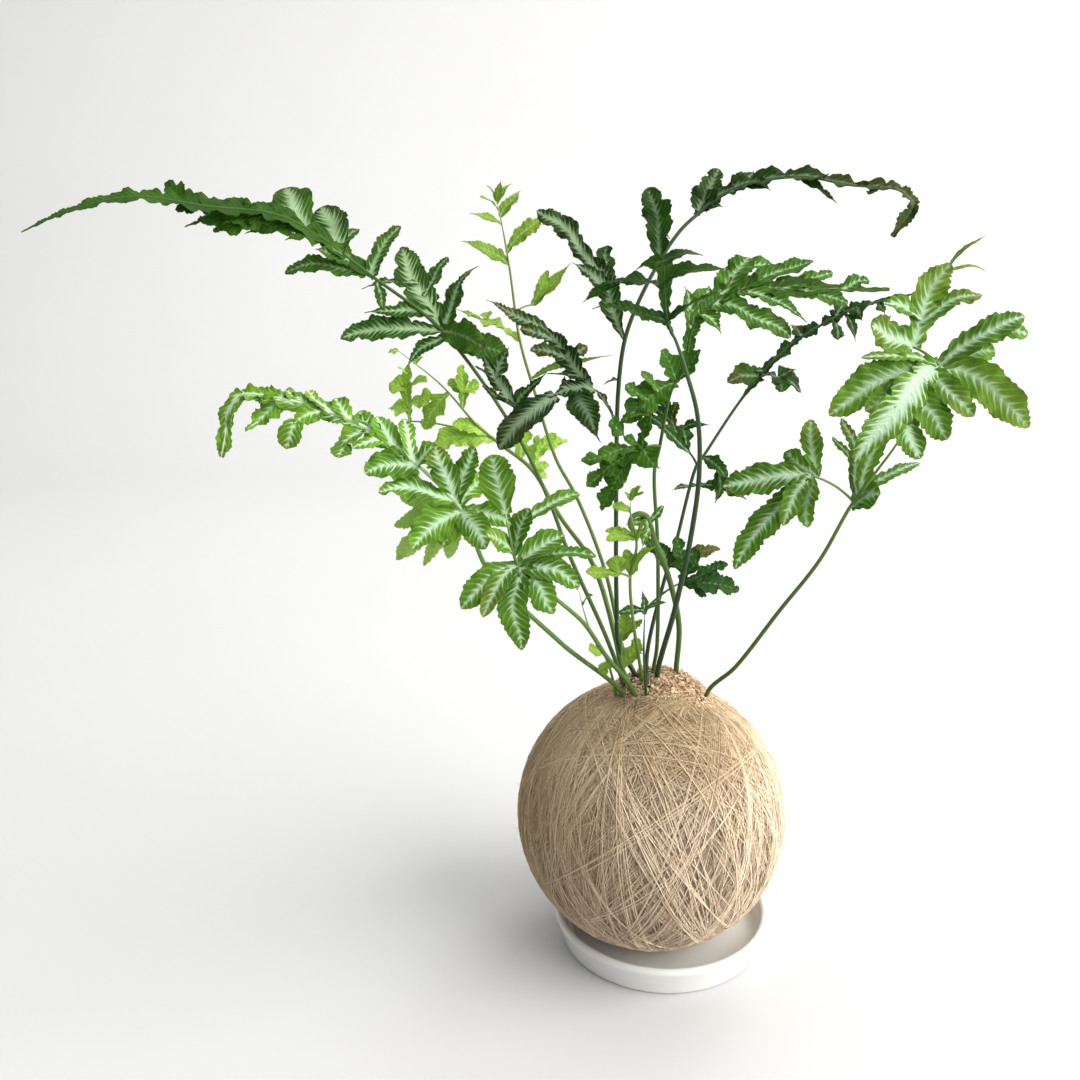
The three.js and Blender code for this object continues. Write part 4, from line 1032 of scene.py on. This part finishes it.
FRONDS = [{
    "name": "frond_long_left", "finish": "silver", "radius": 1.0,
    "wing": {"from": 6, "widths": [8, 13, 14, 11, 5, 0.6], "look": GREEN},
    "stem": [
        [-19, -2, 134], [-27, -2, 159], [-44, 8, 198], [-53, 14, 223], [-67, 18, 253], [-100, 22, 301],
        [-129, 20, 325], [-164, 12, 351], [-194, 2, 356], [-222, -8, 360], [-248, -16, 354],
        [-264, -20, 347],
    ],
    "blades": [
        [STEM, 5, -145, 14, 299, 14, BROAD], [0, 0.45, -120, 24, 308, 9],
        [STEM, 5, -118, 34, 338, 16, BROAD], [2, 0.5, -136, 26, 320, 8], [2, 0.15, -134, 16, 310, 9],
        [2, 0.35, -97, 38, 333, 9], [STEM, 5, -83, 30, 329, 12], [STEM, 5, -80, 10, 294, 14, FAN_DARK],
        [STEM, 4.85, -70, 24, 289, 14, FAN_DARK], [STEM, 4.95, -117, 14, 285, 8],
        [STEM, 6.1, -167, 13, 328, 10], [STEM, 6.8, -166, 24, 364, 20, FAN],
        [STEM, 6.4, -151, 27, 356, 17, FAN], [STEM, 6.4, -135, 26, 346, 7], [STEM, 6.05, -117, 30, 347, 9],
        [STEM, 5.95, -125, 14, 312, 6], [STEM, 6.3, -152, 10, 338, 12], [STEM, 6.6, -164, 6, 342, 12, TAIL],
        [STEM, 6.8, -181, 6, 345, 13, TAIL], [STEM, 7, -193, 1, 346, 13, TAIL],
        [STEM, 7.2, -205, 1, 348, 16, TAIL], [STEM, 7.8, -207, -2, 355, 9, TAIL],
        [STEM, 8.1, -214, 9, 366, 9, TAIL],
    ],
}, {
    "name": "frond_mid_left", "finish": "bright", "radius": 1.05,
    "wing": {"from": 4, "widths": [7, 11, 11, 10, 8, 4], "look": {"zone": 0.34, "fold": 0.0}},
    "stem": [
        [-20, -9, 133], [-50, -34, 171], [-79, -52, 210], [-88, -62, 238], [-105, -58, 256],
        [-123, -54, 269], [-139, -50, 276], [-163, -46, 282], [-177, -44, 282], [-184, -50, 259],
    ],
    "blades": [
        [STEM, 3, -68, -70, 234, 11, ROUND], [STEM, 3, -106, -80, 228, 15],
        [STEM, 3, -78, -82, 228, 13, ROUND], [STEM, 3, -95, -72, 226, 11], [STEM, 3.15, -82, -60, 263, 11],
        [STEM, 3.2, -97, -62, 264, 12], [STEM, 3.2, -119, -70, 248, 13], [STEM, 4, -124, -68, 255, 15],
        [STEM, 4.1, -110, -50, 273, 8], [STEM, 4, -96, -60, 263, 9], [STEM, 3, -105, -54, 213, 6.5, BACK],
        [STEM, 3, -116, -54, 216, 10, BACK], [STEM, 3, -95, -54, 216, 8.5, BACK],
        [STEM, 3, -116, -54, 230, 9.5, BACK], [STEM, 3.1, -113, -54, 242, 12, BACK],
        [STEM, 3.05, -79, -52, 250, 10], [STEM, 3.1, -98, -54, 244, 6.5, BACK],
        [STEM, 5, -134, -62, 264, 10], [17, 0.8, -134, -66, 261, 9, CURL], [STEM, 4.7, -129, -63, 264, 8],
        [STEM, 6.1, -152, -58, 273, 8], [20, 0.85, -155, -62, 264, 11, CURL],
        [STEM, 6.8, -168, -53, 272, 12], [22, 0.9, -172, -55, 270, 4], [STEM, 5.5, -138, -46, 281, 8],
        [STEM, 6, -149, -44, 284, 8], [STEM, 6.4, -158, -42, 284, 8], [STEM, 6.8, -167, -41, 283, 8],
        [STEM, 4.9, -128, -48, 276, 9], [STEM, 4.5, -121, -50, 274, 10], [STEM, 7.2, -176, -42, 283, 7],
        [STEM, 7.9, -183, -46, 270, 10], [STEM, 8.5, -184, -49, 259, 7],
    ],
}, {
    "name": "frond_low_left", "finish": "bright", "radius": 1.1,
    "stem": [
        [-15, -13, 135], [-30, -36, 165], [-40, -52, 186], [-52, -68, 203], [-66, -84, 222],
        [-69, -86, 236], [-70, -84, 242],
    ],
    "blades": [
        [STEM, 4, -87, -98, 210, 12], [STEM, 4, -79, -102, 208, 9.7], [STEM, 4, -65, -110, 198, 12.5],
        [STEM, 4, -53, -100, 208, 12.5], [STEM, 4, -36, -78, 223, 9.7], [STEM, 4, -43, -90, 215, 12],
        [STEM, 4, -48, -76, 231, 12], [STEM, 4.3, -61, -84, 244, 9.7], [7, 0.7, -42, -76, 247, 8.5],
        [STEM, 4.4, -77, -94, 237, 9.7], [STEM, 6, -75, -82, 264, 14.5],
    ],
}, {
    "name": "frond_pale_back", "finish": "pale", "radius": 1.3,
    "stem": [
        [-19, 4, 134], [-22, 10, 154], [-32, 28, 187], [-47, 42, 207], [-61, 50, 230], [-76, 54, 242],
        [-87, 56, 251], [-105, 58, 272], [-125, 58, 289],
    ],
    "blades": [
        [STEM, 5.2, -122, 64, 253, 0], [0, 1, -121, 66, 282, 7], [1, 0.2, -133, 68, 259, 15],
        [1, 0.25, -110, 62, 265, 15], [1, 0.5, -132, 68, 272, 12.5], [1, 0.55, -112, 62, 273, 12.5],
        [1, 0.8, -127, 66, 280, 6], [STEM, 6.45, -94, 64, 281, 8], [7, 0.3, -102, 66, 273, 7],
        [7, 0.3, -86, 62, 271, 11], [STEM, 6.8, -114, 56, 250, 15], [STEM, 5.6, -100, 54, 253, 11],
        [STEM, 5.3, -110, 52, 242, 15], [STEM, 4, -57, 56, 246, 7], [STEM, 4.05, -48, 60, 246, 7],
        [14, 0.4, -42, 62, 242, 7], [STEM, 4, -52, 54, 231, 6], [STEM, 3.95, -53, 52, 225, 6],
        [STEM, 4.35, -64, 62, 250, 12.5], [STEM, 7.6, -115, 64, 285, 7], [STEM, 8, -130, 58, 288, 6],
    ],
}, {
    "name": "frond_pale_tall", "finish": "pale", "radius": 1,
    "stem": [
        [-13, 6, 137], [-18, 14, 147], [-26, 24, 184], [-39, 32, 219], [-49, 36, 238], [-58, 40, 268],
        [-65, 42, 294], [-69, 42, 327], [-72, 42, 347], [-74, 41, 357],
    ],
    "blades": [
        [STEM, 9, -72, 42, 366, 5], [STEM, 9, -78, 36, 364, 4], [STEM, 8.9, -67, 47, 365, 4],
        [STEM, 8.6, -81, 34, 359, 5], [STEM, 8.3, -63, 50, 362, 8], [STEM, 8, -86, 32, 352, 5],
        [STEM, 7.1, -90, 30, 340, 8], [STEM, 7.35, -53, 54, 349, 8], [7, 0.4, -66, 50, 345, 5],
        [STEM, 6.4, -58, 50, 310, 0], [9, 1, -40, 56, 329, 9], [9, 0.9, -51, 52, 326, 6],
        [STEM, 6, -96, 52, 309, 11, LOBED], [12, 0.5, -80, 54, 307, 7], [STEM, 5.3, -22, 34, 287, 5],
    ],
}, {
    "name": "frond_tall_dark", "finish": "dark", "radius": 1.05,
    "wing": {"from": 9, "widths": [2, 10, 13, 10, 9, 8, 7, 3]},
    "stem": [
        [-13, 0, 138], [-21, 2, 153], [-22, 4, 172], [-22, 6, 234], [-21, 8, 274], [-18, 10, 296],
        [-12, 12, 312], [-1, 14, 332], [7, 14, 343], [15, 14, 350], [23, 13, 356], [35, 10, 361],
        [56, 4, 363], [75, -2, 359], [94, -8, 356], [99, -10, 350], [90, -14, 338],
    ],
    "blades": [
        [STEM, 5, -32, 18, 332, 12, NECKED], [0, 0.8, -56, 12, 352, 11, SILVERY],
        [0, 0.6, -25, 20, 337, 10, SCALLOPED], [0, 0.5, -41, 10, 330, 9, SILVERY],
        [STEM, 6.9, -7, 24, 361, 15, SCALLOPED], [4, 0.3, 3, 20, 339, 6], [STEM, 9, 16, 24, 362, 13],
        [STEM, 8.8, 24, 22, 368, 11], [STEM, 9.3, 24, 10, 352, 7], [STEM, 10.6, 39, 20, 367, 8],
        [STEM, 11, 43, 4, 358, 7], [STEM, 11.9, 70, -1, 352, 7, GREEN], [STEM, 12.4, 65, 4, 364, 6, GREEN],
        [STEM, 13.2, 80, -2, 361, 6, GREEN], [STEM, 13.5, 80, -10, 355, 6, GREEN],
        [STEM, 15, 90, -14, 338, 7, DRIED], [STEM, 3.6, -34, -4, 278, 5],
        [16, 1, -52, -8, 302, 11, SILVERY], [17, 0.85, -78, -12, 316, 8.5, SILVERY],
        [17, 0.75, -64, -14, 304, 7, SILVERY], [17, 0.4, -60, -14, 295, 8, SILVERY],
        [17, 0.1, -53, -14, 285, 9], [17, 0.4, -35, 0, 295, 6], [16, 0.9, -52, -16, 275, 14, SILVERY],
        [23, 0.85, -74, -26, 255, 15, HANGING], [23, 0.35, -31, -26, 257, 14, DRAWN_OUT],
        [STEM, 4.2, -28, 0, 278, 5, DRIED], [23, 0.95, -67, -12, 271, 0], [27, 1, -82, -8, 297, 9, SILVERY],
        [28, 0.45, -69, -8, 296, 8, SILVERY], [27, 1, -53, -16, 286, 7], [27, 1, -81, -10, 280, 4],
        [28, 0.3, -84, -6, 288, 3],
    ],
}, {
    "name": "frond_young_front", "finish": "pale", "radius": 0.8,
    "stem": [
        [-11, -7, 139], [-18, -36, 181], [-20, -44, 203], [-18, -50, 219], [-21, -54, 234], [-21, -55, 239],
    ],
    "blades": [
        [STEM, 5, -17, -56, 245, 4], [STEM, 5, -23, -52, 242, 4], [STEM, 5, -16, -58, 243, 2],
        [STEM, 4, -28, -50, 236, 5], [STEM, 3.2, -31, -56, 223, 7], [STEM, 3.3, -31, -50, 225, 4],
        [STEM, 3.1, -15, -60, 232, 4], [STEM, 2.1, -22, -46, 216, 6], [STEM, 2.1, -11, -56, 220, 6],
        [STEM, 2, -25, -48, 206, 0], [9, 1, -26, -48, 214, 10], [9, 1, -39, -54, 209, 8],
    ],
}, {
    "name": "frond_fiddlehead", "finish": "bright", "radius": 1.3,
    "coil": {"radius": 4.4, "turns": 1.1},
    "stem": [
        [6, 0, 141], [5, -14, 170], [-3, -30, 201], [-9, -38, 216], [-12, -42, 226],
    ],
    "blades": [
        [STEM, 3.9, -22, -44, 226, 6], [STEM, 3.95, -6, -42, 233, 4], [STEM, 3.9, -15, -46, 216, 6],
    ],
}, {
    "name": "frond_mid_right", "finish": "silver", "radius": 0.9,
    "wing": {"from": 6, "widths": [1, 5, 7, 8, 12, 13, 2]},
    "stem": [
        [-5, 0, 141], [-4, -6, 156], [-5, -16, 193], [-6, -20, 214], [-8, -24, 244], [-6, -25, 255],
        [-1, -24, 279], [4, -22, 286], [8, -18, 303], [17, -14, 313], [28, -12, 318], [44, -12, 318],
        [89, -18, 317],
    ],
    "blades": [
        [STEM, 5, -14, -30, 255, 0], [0, 1, -22, -34, 261, 6, LOBED], [0, 1, -11, -32, 270, 8, LOBED],
        [2, 0.95, -20, -36, 269, 8, LOBED], [0, 1, -7, -34, 247, 12, LOBED],
        [0, 1, -40, -38, 252, 9, LOBED], [0, 1, -38, -42, 242, 11, LOBED], [0, 1, -32, -44, 232, 12, LOBED],
        [STEM, 6.3, -23, -34, 267, 15, LOBED], [8, 0.75, -13, -32, 274, 7, LOBED],
        [8, 0.55, -21, -30, 282, 8, LOBED], [8, 0.35, -14, -26, 287, 8, LOBED],
        [1, 0.9, -28, -36, 268, 10, LOBED], [STEM, 6.4, -6, -25, 295, 11, LOBED],
        [STEM, 6.5, 10, -27, 295, 8, LOBED], [STEM, 8, 5, -12, 320, 8], [STEM, 8.4, 16, -8, 320, 14],
        [STEM, 8.5, 19, -24, 301, 10], [STEM, 9, 47, -26, 299, 12.5], [STEM, 9.3, 33, -4, 331, 14],
        [19, 0.5, 44, -2, 327, 9], [STEM, 10, 60, -6, 329, 10], [STEM, 10, 54, -24, 305, 12.5],
        [STEM, 11, 68, -8, 324, 9], [STEM, 11.2, 71, -22, 312, 9], [STEM, 11.6, 82, -12, 321, 7.5],
    ],
}, {
    "name": "frond_spiky_front", "finish": "dark", "radius": 1.2,
    "wing": {"from": 6, "widths": [1, 3, 8]},
    "stem": [
        [-4, -6, 141], [1, -32, 186], [6, -40, 221], [8, -44, 248], [6, -48, 272], [1, -50, 289],
        [-3, -52, 300], [-7, -54, 309], [-9, -56, 331],
    ],
    "blades": [
        [STEM, 8, 5, -60, 333, 9], [STEM, 8, -19, -50, 328, 7], [STEM, 7.7, 14, -62, 328, 9],
        [STEM, 7.6, -36, -48, 321, 8], [3, 0.6, -39, -46, 316, 5], [STEM, 7, -36, -54, 314, 8],
        [STEM, 7, 12, -62, 320, 6],
    ],
}, {
    "name": "frond_dark_right", "finish": "dark", "radius": 0.95,
    "wing": {"from": 6, "widths": [3, 8, 9, 8, 2]},
    "stem": [
        [-9, -11, 138], [-8, -2, 152], [1, 8, 185], [6, 11, 200], [16, 16, 237], [19, 17, 241],
        [38, 20, 269], [56, 22, 289], [72, 22, 300], [87, 22, 307], [112, 20, 313],
    ],
    "blades": [
        [STEM, 6.4, 29, 14, 276, 12], [STEM, 6.45, 62, 12, 271, 14], [1, 0.4, 61, 18, 281, 10],
        [1, 0.4, 52, 8, 272, 9], [STEM, 6.5, 42, 20, 280, 6], [STEM, 5, 29, 8, 233, 8],
        [5, 0.7, 23, 4, 222, 9], [STEM, 3.7, 4, 10, 227, 4], [STEM, 3.7, 38, 6, 223, 6],
        [STEM, 4.1, 12, 20, 244, 0], [9, 1, 11, 26, 255, 10], [10, 0.8, 22, 18, 256, 6],
        [9, 0.9, 3, 26, 263, 6], [12, 0.7, -4, 28, 272, 6], [12, 0.7, 8, 24, 266, 6],
        [12, 0.5, -9, 28, 267, 6], [9, 0.7, -10, 22, 262, 8], [STEM, 8.5, 83, 30, 310, 8],
        [STEM, 9, 89, 16, 302, 10], [STEM, 8.4, 78, 14, 294, 9], [STEM, 8.7, 86, 14, 293, 6],
        [STEM, 7.5, 60, 30, 300, 9], [STEM, 9.4, 99, 16, 305, 6], [STEM, 2.3, -3, 14, 203, 10],
        [STEM, 2.2, -12, 12, 208, 6], [STEM, 2.4, 10, 4, 194, 9], [STEM, 2.4, 27, 8, 199, 8],
    ],
}, {
    "name": "frond_small_dark", "finish": "dark", "radius": 0.7,
    "stem": [
        [-10, -16, 136], [-12, -24, 162], [-12, -27, 182],
    ],
    "blades": [
        [STEM, 2, -24, -30, 182, 5], [STEM, 1.9, -13, -26, 191, 5], [STEM, 2, -3, -28, 186, 3],
        [STEM, 2, 6, -16, 191, 0], [3, 1, 32, -14, 186, 13, LOBED], [3, 1, 17, -16, 184, 8, LOBED],
        [3, 1, 3, -14, 212, 9, LOBED], [3, 1, 13, -16, 207, 7, LOBED], [3, 1, 27, -12, 198, 8, LOBED],
    ],
}, {
    "name": "frond_far_right", "finish": "bright", "radius": 1.0,
    "stem": [
        [20, -7, 133], [30, -20, 151], [44, -40, 185], [55, -58, 213], [61, -74, 239], [65, -82, 251],
        [73, -90, 269], [82, -96, 295],
    ],
    "blades": [
        [STEM, 4.2, 43, -84, 254, 0], [0, 1, 10, -86, 251, 13], [0, 1, 13, -98, 223, 12],
        [0, 1, 30, -98, 239, 9], [0, 1, 40, -94, 237, 9], [0, 0.9, 34, -78, 262, 9],
        [0, 0.9, 45, -72, 273, 9], [STEM, 4.3, 54, -70, 266, 5], [STEM, 4.45, 57, -70, 273, 6],
        [STEM, 4.6, 67, -78, 276, 9], [STEM, 4.4, 88, -70, 255, 8], [STEM, 4.1, 69, -84, 247, 13],
        [STEM, 7, 42, -106, 280, 16, ROUND], [STEM, 7, 48, -118, 266, 14, PALE],
        [13, 0.34, 81, -112, 272, 13, LOBE], [13, 0.52, 73, -110, 265, 11, LOBE],
        [13, 0.12, 91, -108, 279, 11, LOBE], [STEM, 7, 112, -104, 274, 14, ROUND],
        [STEM, 7, 103, -92, 299, 11, ROUND], [STEM, 7, 111, -94, 311, 11, ROUND],
        [19, 0.55, 112, -96, 305, 8, ROUND], [STEM, 7, 74, -92, 301, 0], [21, 1, 87, -86, 329, 13],
        [22, 0.3, 63, -92, 316, 8], [22, 0.25, 99, -86, 318, 9], [21, 1, 57, -98, 309, 13, ROUND],
        [STEM, 7, 53, -102, 299, 6], [22, 1, 99, -84, 338, 2.5, DRIED],
        [22, 0.9, 101, -82, 326, 1.5, DRIED], [13, 0.25, 53, -110, 282, 11, LOBE],
    ],
}, {
    "name": "frond_thin_left", "finish": "pale", "radius": 0.7,
    "stem": [
        [-23, -5, 131], [-30, -26, 162], [-37, -36, 178], [-42, -46, 199],
    ],
    "blades": [
        [STEM, 1, -37, -32, 166, 8], [STEM, 0.8, -30, -26, 151, 7], [STEM, 3, -46, -50, 205, 3],
        [STEM, 2.6, -36, -48, 197, 3],
    ],
}, {
    "name": "frond_young_low", "finish": "pale", "radius": 0.8,
    "stem": [
        [-16, -8, 136], [-21, -14, 152], [-21, -16, 164],
    ],
    "blades": [
        [STEM, 2, -12, -17, 174, 6], [STEM, 2, -19, -19, 179, 7], [STEM, 0.8, -12, -8, 161, 9, LOBED],
    ],
}]


def coil_points(end, radius, turns):
    """Points of a fiddlehead's coil, wound on from the end of its stem."""
    steps = round(turns * COIL_STEPS)
    points = []
    for i in range(1, steps + 1):
        angle = i / COIL_STEPS * FULL_TURN
        reach = radius * (1 - 0.35 * i / steps)
        points.append((end[0] - radius + reach * math.cos(angle), end[1] - 0.3 * i,
                       end[2] + reach * math.sin(angle)))
    return points


def stem_route(frond):
    """The stem's curve, begun inside the ball."""
    points = np.array(frond["stem"], float)
    down = unit(points[0] - points[1])
    down = unit(down + (-UP - down) * 0.8)
    route = [points[0] + down * ROOT_DEPTH, *points]
    if "coil" in frond:
        route += coil_points(points[-1], frond["coil"]["radius"], frond["coil"]["turns"])
    return Route(route)


def bowed(line, growth, facing, length, rng):
    """The midrib line swayed a little sideways and up, its ends kept."""
    share = np.linspace(0, 1, len(line))[:, None]
    side_way = unit(np.cross(facing, growth))
    normal = unit(np.cross(growth, side_way))
    sway = np.sin(share * math.pi) * np.cos(share * math.pi * rng.uniform(0.5, 2.0))
    line = line + side_way * sway * length * rng.uniform(-0.07, 0.07)
    return line + normal * np.sin(share * math.pi) * length * rng.uniform(-0.02, 0.07)


def shares_for(start, length, look):
    """Even shares from start to 1, close enough together for the teeth of a blade this long."""
    rows = int(np.clip(length / look["pitch"] * ROWS_PER_VEIN, *ROW_LIMITS))
    return np.linspace(start, 1, rows + 1)


def tangents(curve, shares):
    return np.array([curve.tangent(share) for share in shares])


def add_stem(soup, frond, route, wing_start):
    """The stalk. Its skin turns from a stem's to a midrib's where the wing starts."""
    shares = np.linspace(0, 1, 10 * (len(route.points) - 1))
    path = route.line(shares)
    taper = np.interp(shares, [0, 0.15, 0.7, 1.0], [1.0, 1.05, 0.68, 0.16])
    if "coil" in frond:
        taper = np.interp(shares, [0, 0.5, 1.0], [1.0, 0.95, 0.6])
    along = np.repeat(np.clip(0.7 * shares / wing_start, 0, 1), STEM_SIDES)
    numbers = np.stack([0 * along, 0 * along, along, 0 * along], -1)
    soup.add(*tube(path, frond["radius"] * taper, STEM_SIDES), STALK_TONE, numbers, STALK_SKIN)


def add_wing(soup, wing, route, wing_start, look, rng):
    """The lobed leaf tissue along the end of the stem."""
    widths = wing["widths"]
    stations = wing_start + np.arange(len(widths)) / (len(route.points) - 1)
    length = np.linalg.norm(route.point(1.0) - route.point(wing_start)) * 1.1
    shares = shares_for(wing_start, length, look)
    half = np.interp(shares, stations, widths) / 2
    look = {**look, "lobe": look["wing_lobe"], "cut": look["wing_cut"], **wing.get("look", {})}
    add_blade(soup, route.line(shares), tangents(route, shares), half, LEAF_FACING, look, rng)


def make_frond(frond, index, stalk, rng):
    """One frond: stem, stalks, blades and the leaf tissue along the stem's end."""
    look = {**BLADE_SHAPE, **SHAPES.get(frond["name"], {})}
    model_random = ModelRandom(100 + index)
    route = stem_route(frond)
    last = len(route.points) - 1
    wing = frond.get("wing")
    wing_start = (wing["from"] + 1) / last if wing else NO_WING
    soup = Soup()
    add_stem(soup, frond, route, wing_start)
    if wing:
        add_wing(soup, wing, route, wing_start, look, rng)
    ribs = []
    for parent, at, x, y, z, width, *own in frond["blades"]:
        host = route if parent == STEM else ribs[parent]
        share = (at + 1) / last if parent == STEM else at
        tip = np.array([x, y, z], float)
        rib = Rib(host.point(share), host.tangent(share), tip)
        ribs.append(rib)
        kind = {**look, **own[0]} if own else look
        shares = shares_for(0.0, rib.length, look)
        line = rib.line(shares)
        if width == 0:
            radii = np.linspace(0.62, 0.4, len(line))
            soup.add(*tube(line, radii, STALK_SIDES), STALK_TONE, (0, 0, 0.45, 0), STALK_SKIN)
            continue
        spread = model_random.next() if width >= SLIMMEST_BLADE else rng.random()
        facing = turned(LEAF_FACING, unit(tip - line[0]), (spread - 0.5) * BLADE_ROLL)
        facing = facing if kind["facing"] is None else kind["facing"]
        facing = -facing if kind["back"] else facing
        growth = tangents(rib, shares)
        line = bowed(line, growth, facing, rib.length, rng)
        acute = rng.random() < kind["acute"]
        on_wing = wing and parent == STEM and at >= wing["from"]
        base = look["wing_base"] if on_wing and not own else kind["base"]
        half = blade_half_width(shares, width, acute, base)
        add_blade(soup, line, growth, half, facing, kind, rng)
    finish = frond["finish"]
    name = frond["name"].replace("frond", "leaves")
    skin = leaf_material(name, {**SKIN, **LOOKS[finish], "tip": look["tip"]}, look["level"])
    soup.piece(name, [skin, stalk], "leaf_" + finish, [frond["name"]], sharp=1.0)


# ---- stage and light ----


def make_stage():
    """A pale floor that curves up behind into a pale wall."""
    profile = [(-3.0, 0.0)]
    bend, back = 0.9, 1.1
    for i in range(25):
        angle = math.pi / 2 * i / 24
        profile.append((back + bend * math.sin(angle), bend - bend * math.cos(angle)))
    profile.append((back + bend, 4.0))
    points = [(x, y, z) for y, z in profile for x in (-5.0, 5.0)]
    faces = [(2 * i, 2 * i + 1, 2 * i + 3, 2 * i + 2) for i in range(len(profile) - 1)]
    mesh = bpy.data.meshes.new("floor")
    mesh.from_pydata(points, [], faces)
    mesh.polygons.foreach_set("use_smooth", [True] * len(faces))
    n = Nodes("paper")
    colour = n.mix(n.noise(3.0), (0.54, 0.54, 0.54), (0.57, 0.57, 0.57))
    mesh.materials.append(n.set(Base_Color=colour, Roughness=0.75, Specular_IOR_Level=0.2))
    floor = bpy.data.objects.new("floor", mesh)
    bpy.context.scene.collection.objects.link(floor)


def area_light(name, place, aim, size, power, colour=(1.0, 1.0, 1.0)):
    data = bpy.data.lights.new(name, "AREA")
    data.shape = "DISK"
    data.size = size
    data.energy = power
    data.color = colour
    light = bpy.data.objects.new(name, data)
    light.location = place
    light.visible_camera = False
    light.rotation_euler = (Vector(aim) - Vector(place)).to_track_quat("-Z", "Y").to_euler()
    bpy.context.scene.collection.objects.link(light)


def light_scene():
    """A bright room, lighter on the right where the window is, and the window itself."""
    world = bpy.data.worlds.new("world")
    bpy.context.scene.world = world
    world.use_nodes = True
    tree = world.node_tree
    way = tree.nodes.new("ShaderNodeTexCoord")
    split = tree.nodes.new("ShaderNodeSeparateXYZ")
    slope = tree.nodes.new("ShaderNodeMapRange")
    tree.links.new(way.outputs["Generated"], split.inputs[0])
    tree.links.new(split.outputs["X"], slope.inputs["Value"])
    slope.inputs["From Min"].default_value = -1.0
    slope.inputs["To Min"].default_value = ROOM_LEFT
    slope.inputs["To Max"].default_value = ROOM_RIGHT
    tree.links.new(slope.outputs["Result"], tree.nodes["Background"].inputs["Strength"])
    tree.nodes["Background"].inputs["Color"].default_value = (1.0, 1.0, 0.99, 1.0)
    area_light("window", (2.32, -1.0, 1.44), (-0.02, 0.0, 0.12), 3.4, WINDOW_POWER, (1.0, 0.985, 0.96))
    area_light("back", (0.7, 1.0, 1.1), (0.0, 0.0, 0.25), 0.8, BACK_POWER)
    area_light("wall_wash", (0.0, 0.9, 2.5), (0.0, 2.0, 1.0), 3.0, WASH_POWER)
    view = bpy.context.scene.view_settings
    view.view_transform = "Standard"
    view.look = "None"


# ---- everything ----


def main():
    make_camera()
    light_scene()
    make_stage()
    make_saucer()
    make_bed(np.random.default_rng(11))
    make_windings(np.random.default_rng(21))
    make_fuzz(np.random.default_rng(14))
    make_crown(np.random.default_rng(13))
    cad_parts["fibre_ball"].data.materials.clear()
    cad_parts["fibre_ball"].data.materials.append(soil_material("soil"))
    stalks = {name: stem_material("stalk_" + name, *tones) for name, tones in STEM_TONES.items()}
    for index, frond in enumerate(FRONDS):
        make_frond(frond, index, stalks[frond["finish"]], np.random.default_rng(200 + index))


main()
